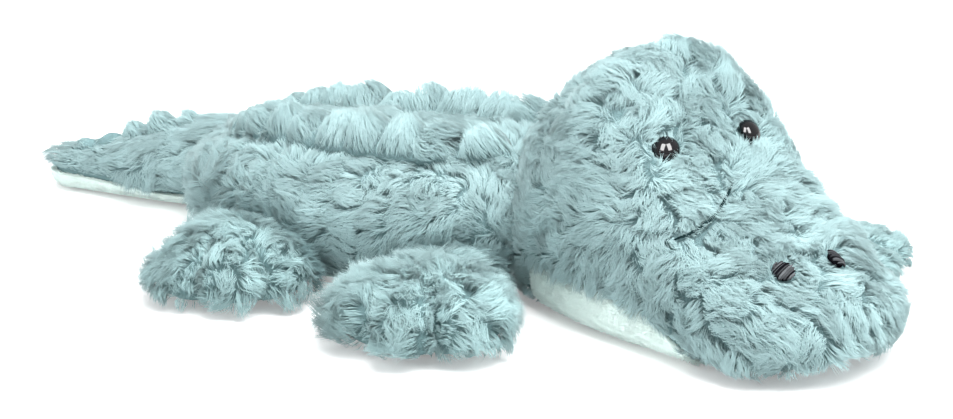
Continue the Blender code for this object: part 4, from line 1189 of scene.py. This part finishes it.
class CROC_OT_tail(bpy.types.Operator):
    """The stuffed tail's skin and fur"""
    bl_idname = "croc.tail"
    bl_label = "Tail"

    def execute(self, context):
        fur = context.scene.croc_fur
        furry, backing = fur_finishes(fur)
        form = TAIL.grown(-fur.skin_inset)
        surface = surface_of(placed(form.grid(sides=56, low=TAIL_SEAM_HEIGHT), TAIL_PLACE))
        surface = swollen(surface, depth=0.0012, size=0.013, seed=13, floor=TAIL_SEAM_HEIGHT)
        padded_skin("tail_skin", surface, backing, "tail", ("tail_cover", "tail_stuffing"))

        def keep(at, normal):
            high = fade(at[:, 2], TAIL_SEAM_HEIGHT + 0.0012, TAIL_SEAM_HEIGHT + 0.006)
            back = unplaced(at, TAIL_PLACE)[:, 1] / TAIL_LENGTH
            high = high * (1 - 0.35 * fade(back, 0.4, 0.7) + 1.2 * fade(back, 0.86, 0.96))
            return high * (normal[:, 2] > -0.7) * (depth_in(BODY, at, -0.006) > 1)

        grow_fur("tail_fur", surface, furry, "tail", fur, 23, straight((0.0, 0.9, 0.0), TAIL_PLACE), keep,
                 length=0.9, mess=0.8)
        return {"FINISHED"}


def toes_at(local, reach):
    """A point's angle off the foot's middle and its distance from the foot's root, as shares
    of the foot's half width and length."""
    side, ahead = local[:, 0] / (FOOT_WIDTH / 2), (local[:, 1] - reach) / FOOT_LENGTH
    return np.arctan2(abs(side), ahead), np.hypot(side, ahead)


class CROC_OT_legs(bpy.types.Operator):
    """The four stuffed legs' skins and fur"""
    bl_idname = "croc.legs"
    bl_label = "Legs"

    def execute(self, context):
        fur = context.scene.croc_fur
        # The feet's backing takes the dark root colour: partly its own colour, partly painted shade deep
        # between the strands.
        backing = skin_finish("foot_backing", fur.foot_root_colour)
        furry = fur_finish("pile_feet", fur.foot_root_colour, fur.foot_tip_colour)
        for number, (name, place, reach, tall) in enumerate(LEGS):
            hidden = name == "front_leg_left"
            surface = surface_of(placed(limb_grid(reach, tall, fur.skin_inset), place))
            points, triangles = swollen(surface, depth=0.0014, size=0.013, seed=14 + number,
                                        floor=fur.skin_inset)
            mirrored = 1 if name.endswith("right") else -1
            tailward = unplaced(points, place)[:, 0] / (FOOT_WIDTH / 2) * mirrored
            slope = 0.30 if name.startswith("rear") else 0.14
            low = 1 - slope * fade(tailward, 0.05, 0.9) - (0.05 if hidden else 0.0)
            above = points[:, 2] - fur.skin_inset
            points[:, 2] = fur.skin_inset + above * np.where(above > 0, low, 1.0)
            surface = points, triangles
            padded_skin(name + "_skin", surface, backing, name, (name + "_cover", name + "_stuffing"))

            def keep(at, normal):
                kept = (normal[:, 2] > -0.6) * (depth_in(BODY, at, -0.003) > 1)
                kept = kept * (depth_in(HEAD, at, 0.001) > 1)
                local = unplaced(at, place)
                toe, out = toes_at(local, reach)
                cleft = np.exp(-((toe - TOE_CLEFT_ANGLE) * out / math.radians(8)) ** 2) * fade(out, 0.2, 0.6)
                if name == "front_leg_right":
                    kept = kept * (1 + 0.35 * fade(local[:, 0] / (FOOT_WIDTH / 2), 0.4, 0.9))
                if hidden:
                    kept = kept * (1 - 0.5 * fade(at[:, 2], 0.010, 0.018))
                kept = kept * (0.5 + 0.5 * fade(depth_in(BODY, at, 0.004), 0.95, 1.3))
                return kept * (0.80 + 0.20 * fade(at[:, 2], 0.002, 0.013)) * (1 - 0.7 * cleft)

            # Painted shade on the feet's fur: darker low down beside the body, and beside the head, where
            # shade falls between them.
            def shade(at):
                by_body = beside(depth_in(BODY, at, 0.009)) * fade(0.045 - at[:, 2], 0.0, 0.02)
                return 1.3 * by_body + 1.2 * beside(depth_in(HEAD, at, 0.016), 1.5)

            def flow(at):
                local = unplaced(at, place)
                way = np.stack([1.1 * local[:, 0] / (FOOT_WIDTH / 2), 0.8 + 0 * at[:, 0],
                                -0.32 * fade(local[:, 1], 0, reach)], axis=1)
                off = toes_at(local, reach)[0] - TOE_CLEFT_ANGLE
                way[:, 0] += 0.9 * np.sign(local[:, 0] * off) * np.exp(-(off / math.radians(13)) ** 2)
                return turned(way, place)

            share = fur.foot_length / fur.length * (0.68 if hidden else 1.0)
            grow_fur(name + "_fur", surface, furry, name, fur, 31 + number, flow, keep, length=0.95 * share,
                     mess=1.9, rise=1.2, density=1.1, lay=20.0, fine=0.62, gather=0.34, shade=shade)
        return {"FINISHED"}


class CROC_OT_panels(bpy.types.Operator):
    """The pale cloth under the chin, belly and tail"""
    bl_idname = "croc.panels"
    bl_label = "Pale panels"

    def execute(self, context):
        cloth, fur = context.scene.croc_cloth, context.scene.croc_fur
        pale = cloth_finish("panel_cloth", cloth.colour, cloth.shade)
        pile = fur_finish("panel_pile", cloth.shade, cloth.colour)
        ahead = -HEAD.along
        over_chin = (ahead > -0.001) & (ahead < HEAD_REACH * 0.655)
        shapes = (("chin_panel", "head", HEAD_PLACE, HEAD, over_chin, chin_seam(ahead), 64),
                  ("belly_panel", "body", BODY_PLACE, BODY, True, BELLY_SEAM_HEIGHT, 48),
                  ("tail_panel", "tail", TAIL_PLACE, TAIL, True, TAIL_SEAM_HEIGHT, 48))
        for number, (node, body, place, form, kept, high, sides) in enumerate(shapes):
            high = high + 0 * form.along
            kept = kept & (form.mid - high < 0.95 * (form.mid - form.bottom))
            part = Form(*(line[kept] for line in form.grown(-0.0004).lines))
            surface = surface_of(placed(part.grid(sides, 0.0003, high[kept]), place))
            surface = swollen(surface, cloth.lump, size=0.02, seed=51 + number, floor=0.002)
            padded_skin(node + "_cloth", surface, pale, body, (node,))
            if node == "belly_panel":
                continue

            def keep(at, normal):
                kept = (at[:, 2] > 0.0012) * (normal[:, 2] > -0.80) * (leg_depth(at, 0.004) > 1)
                return 1.0 * kept * (depth_in(BODY, at, 0.005) > 1)

            # low=0.003 keeps the painted floor shade to the pile's lowest few millimetres.
            grow_fur(node + "_pile", surface, pile, body, fur, 61 + number, straight((0.0, 0.8, -0.2), place),
                     keep, length=cloth.pile_length / fur.length, mess=0.6, density=0.8, lay=20.0,
                     gather=0.1, low=0.003)
        return {"FINISHED"}


class CROC_OT_eyes(bpy.types.Operator):
    """The two glossy eyes on their shanks"""
    bl_idname = "croc.eyes"
    bl_label = "Eyes"

    def execute(self, context):
        black = eye_finish("eye_gloss", context.scene.croc_face.eye_colour)
        angle = np.linspace(0.5 * math.pi, 0, 20)
        dome = [(EYE_DIAMETER / 2 * math.cos(a), EYE_RIM + EYE_DOME * math.sin(a)) for a in angle]
        rim = [(EYE_DIAMETER / 2, 0.4 * EYE_RIM), (0.49 * EYE_DIAMETER, 0.1 * EYE_RIM),
               (0.46 * EYE_DIAMETER, 0.0), (0.002, 0.0), (0.002, -0.0076), (0.0, -0.0076)]
        profile = [(0.0, EYE_RIM + EYE_DOME)] + dome[1:] + rim
        for name, side in (("eye_right", -1), ("eye_left", 1)):
            centre, normal = head_seat(side * EYE_SPREAD / 2, EYE_FORWARD)
            normal = unit(normal + np.array((0.55 * side, 0.0, 0.0)))
            centre = placed(centre - normal * 1.6 * EYE_SINK, HEAD_PLACE)
            button = surface_of(lathe(profile, centre, turned(normal, HEAD_PLACE), sides=64))
            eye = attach(new_piece(name + "_button", button, black), "head")
            eye.data.set_sharp_from_angle(angle=math.radians(50))
            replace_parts(eye, name)
        return {"FINISHED"}


def thread_tubes(paths, thick, corners=6):
    """Closed tubes along several paths of points: a ring round each point, square to the
    path, drawn to a point at both ends."""
    way = unit(np.gradient(paths, axis=1))
    side = unit(np.cross(way, np.array((0.13, 0.29, 0.95))))
    ring = circle_round(side, np.cross(way, side), corners)
    size = thick / 2 * np.sqrt(np.clip(1 - np.linspace(-1, 1, paths.shape[1]) ** 8, 0.06, 1))
    tubes = paths[:, :, None, :] + ring * size[None, :, None, None]
    ends = paths[:, [0, -1], None, :] + np.zeros((1, 1, corners, 1))
    return np.concatenate([ends[:, :1], tubes, ends[:, 1:]], axis=1)


def tubes_piece(name, tubes, finish, glint):
    """One mesh of several closed tubes, each with its own share of painted highlight, that rides the head."""
    surfaces = [surface_of(tube) for tube in tubes]
    starts = np.cumsum([0] + [len(points) for points, _ in surfaces[:-1]])
    points = np.concatenate([points for points, _ in surfaces])
    triangles = np.concatenate([triangles + start for (_, triangles), start in zip(surfaces, starts)])
    painted_glints = np.concatenate([np.full(len(points), value) for (points, _), value in zip(surfaces, glint)])
    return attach(new_piece(name, (points, triangles), finish, marks={"glint": painted_glints}), "head")


class CROC_OT_stitching(bpy.types.Operator):
    """The satin-stitched nostrils, and the thread in the smile crease, whose dark teal is also painted shade
    in the crease's fold
    """
    bl_idname = "croc.stitching"
    bl_label = "Nostrils and smile"

    def execute(self, context):
        face, fur = context.scene.croc_face, context.scene.croc_fur
        thread = thread_finish("nostril_thread", face.thread_colour, face.glint_colour)
        rng = np.random.default_rng(77)
        rows = np.linspace(-0.94, 0.94, NOSTRIL_ROWS)[:, None]
        chord = np.sqrt(1 - rows ** 2)
        across = np.linspace(-1, 1, 15)[None, :]
        angle = np.linspace(0.5 * math.pi, 0, 8)[1:]
        pad = [(0.0, 0.0014)] + [(NOSTRIL_WIDTH * 0.46 * math.cos(a), 0.0014 * math.sin(a)) for a in angle]
        pad += [(0.40 * NOSTRIL_WIDTH, -0.0010), (0.0, -0.0010)]
        for name, side in (("nostril_right", -1), ("nostril_left", 1)):
            centre, normal = head_seat(side * NOSTRIL_SPREAD / 2, NOSTRIL_FORWARD)
            normal = unit(normal + np.array((0.45 * side, 0.0, 0.0)))
            right = unit(np.cross(np.array((0.0, -1.0, 0.0)), normal))
            uneven = rng.standard_normal((3, NOSTRIL_ROWS, 1))
            x = NOSTRIL_WIDTH / 2 * chord * across * (1 + 0.05 * uneven[0])
            y = NOSTRIL_HEIGHT / 2 * (rows + 0.03 * across * uneven[1])
            z = 0.0007 + 0.0013 * np.sqrt(np.clip(1 - across ** 2, 0, 1)) * (0.6 + 0.4 * chord)
            z = z + 0.0002 * uneven[2]
            up = np.cross(normal, right)
            path = centre + x[..., None] * right + y[..., None] * up + z[..., None] * normal
            tubes = thread_tubes(placed(path, HEAD_PLACE), face.thread_width)
            cushion = lathe(pad, placed(centre, HEAD_PLACE), turned(normal, HEAD_PLACE), sides=40)
            # Painted highlights: a random share of each stitch row's colour is the pale highlight colour.
            glint = np.append(rng.random(NOSTRIL_ROWS) ** 3, 0.0)
            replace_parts(tubes_piece(name + "_stitching", list(tubes) + [cushion], thread, glint), name)
        lines = []
        for line, depth in zip(crease_lines(), (0.0002, fur.skin_inset)):
            place, steps = np.arange(len(line)), np.linspace(0, len(line) - 1, 40)
            side, along = (curve_through(steps, place, line[:, k]) for k in (0, 1))
            seats = [head_seat(x, -y) for x, y in zip(side, along)]
            lines.append(np.array([point - depth * normal for point, normal in seats]))
        # The smile thread is dark teal: partly the thread itself, partly painted shade in the crease's fold.
        tubes = thread_tubes(placed(np.array(lines), HEAD_PLACE), SMILE_THREAD_WIDTH)
        smile = thread_finish("thread_smile", face.smile_colour, face.smile_colour)
        tubes_piece("smile_thread", tubes, smile, (0.2, 0.2))
        return {"FINISHED"}


class CROC_OT_washers(bpy.types.Operator):
    """The finish of the eyes' hidden washers"""
    bl_idname = "croc.washers"
    bl_label = "Washers"

    def execute(self, context):
        finish = plain_finish("nylon_finish", (0.70, 0.70, 0.68, 1.0), rough=0.45,
                              dapple={"scale": 120.0, "strength": 0.06},
                              nap={"scale": 1440.0, "coarse": 0.8, "strength": 0.5, "distance": 0.0006})
        for node in ("eye_washer_right", "eye_washer_left"):
            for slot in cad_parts[node].material_slots:
                slot.material = finish
        return {"FINISHED"}


def away_from(azimuth, elevation):
    """The direction of a viewer at an azimuth and elevation in degrees."""
    a, e = math.radians(azimuth), math.radians(elevation)
    return Vector((math.sin(a) * math.cos(e), -math.cos(a) * math.cos(e), math.sin(e)))


def aimed(name, data, view, distance):
    """A lamp or camera that looks at the target from an azimuth, elevation and distance."""
    made = bpy.data.objects.new(name, data)
    bpy.context.scene.collection.objects.link(made)
    made.location = TARGET + away_from(*view) * distance
    made.rotation_euler = (TARGET - made.location).to_track_quat("-Z", "Y").to_euler()
    return made


class CROC_OT_stage(bpy.types.Operator):
    """The pale floor, the plain studio light and the camera"""
    bl_idname = "croc.stage"
    bl_label = "Stage"

    def execute(self, context):
        scene, stage = context.scene, context.scene.croc_stage
        scene.view_settings.view_transform = "Standard"
        turn = np.linspace(0, 2 * math.pi, 97)[:-1]
        disc = FLOOR_RADIUS * np.stack([np.cos(turn), np.sin(turn), 0 * turn], axis=1)
        finish = floor_finish(stage.floor_colour)
        new_piece("floor", (disc, np.arange(96)[None, :]), finish, soft=False)

        world = bpy.data.worlds.new("studio")
        world.use_nodes = True
        scene.world = world
        tree = world.node_tree
        back = tree.nodes["Background"]
        back.inputs["Color"].default_value = (1, 1, 1, 1)
        strength = calc(tree, "MULTIPLY_ADD", seen_directly(tree), 1.0 - stage.sky, stage.sky)
        tree.links.new(strength, back.inputs["Strength"])

        for name, power, view, distance, size, unlit in LAMPS:
            data = bpy.data.lights.new(name, "AREA")
            data.shape = "RECTANGLE"
            data.size, data.size_y = size
            data.energy = getattr(stage, power)
            setattr(aimed(name, data, view, distance), unlit, False)

        data = bpy.data.cameras.new("camera")
        data.sensor_width = SENSOR_WIDTH
        data.lens = FOCAL_LENGTH / PHOTO_WIDTH * SENSOR_WIDTH
        data.clip_start, data.clip_end = 0.05, 30.0
        scene.camera = aimed("camera", data, CAMERA_VIEW, CAMERA_DISTANCE)
        return {"FINISHED"}


OPERATORS = (CROC_OT_body, CROC_OT_ridges, CROC_OT_head, CROC_OT_tail, CROC_OT_legs, CROC_OT_panels,
             CROC_OT_eyes, CROC_OT_stitching, CROC_OT_washers, CROC_OT_stage)


class CROC_PT_sidebar(bpy.types.Panel):
    """The crocodile's pieces and settings"""
    bl_idname = "CROC_PT_sidebar"
    bl_label = "Crocodile"
    bl_space_type = "VIEW_3D"
    bl_region_type = "UI"
    bl_category = "Crocodile"

    def draw(self, context):
        for operator in OPERATORS:
            self.layout.operator(operator.bl_idname)
        for settings in (context.scene.croc_fur, context.scene.croc_cloth, context.scene.croc_face,
                         context.scene.croc_stage):
            column = self.layout.column()
            for name in settings.__annotations__:
                column.prop(settings, name)


SETTINGS = (("croc_fur", FurSettings), ("croc_cloth", ClothSettings), ("croc_face", FaceSettings),
            ("croc_stage", StageSettings))


def register():
    """Adds the settings, operators and panel."""
    for name, kind in SETTINGS:
        bpy.utils.register_class(kind)
        setattr(bpy.types.Scene, name, bpy.props.PointerProperty(type=kind))
    for kind in OPERATORS + (CROC_PT_sidebar,):
        bpy.utils.register_class(kind)


def unregister():
    """Takes the panel, operators and settings away."""
    for kind in (CROC_PT_sidebar,) + OPERATORS[::-1]:
        bpy.utils.unregister_class(kind)
    for name, kind in SETTINGS[::-1]:
        delattr(bpy.types.Scene, name)
        bpy.utils.unregister_class(kind)


def main():
    """Makes every piece and the stage."""
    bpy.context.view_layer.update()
    register()
    for operator in OPERATORS:
        family, call = operator.bl_idname.split(".")
        getattr(getattr(bpy.ops, family), call)()


if __name__ == "__main__":
    main()
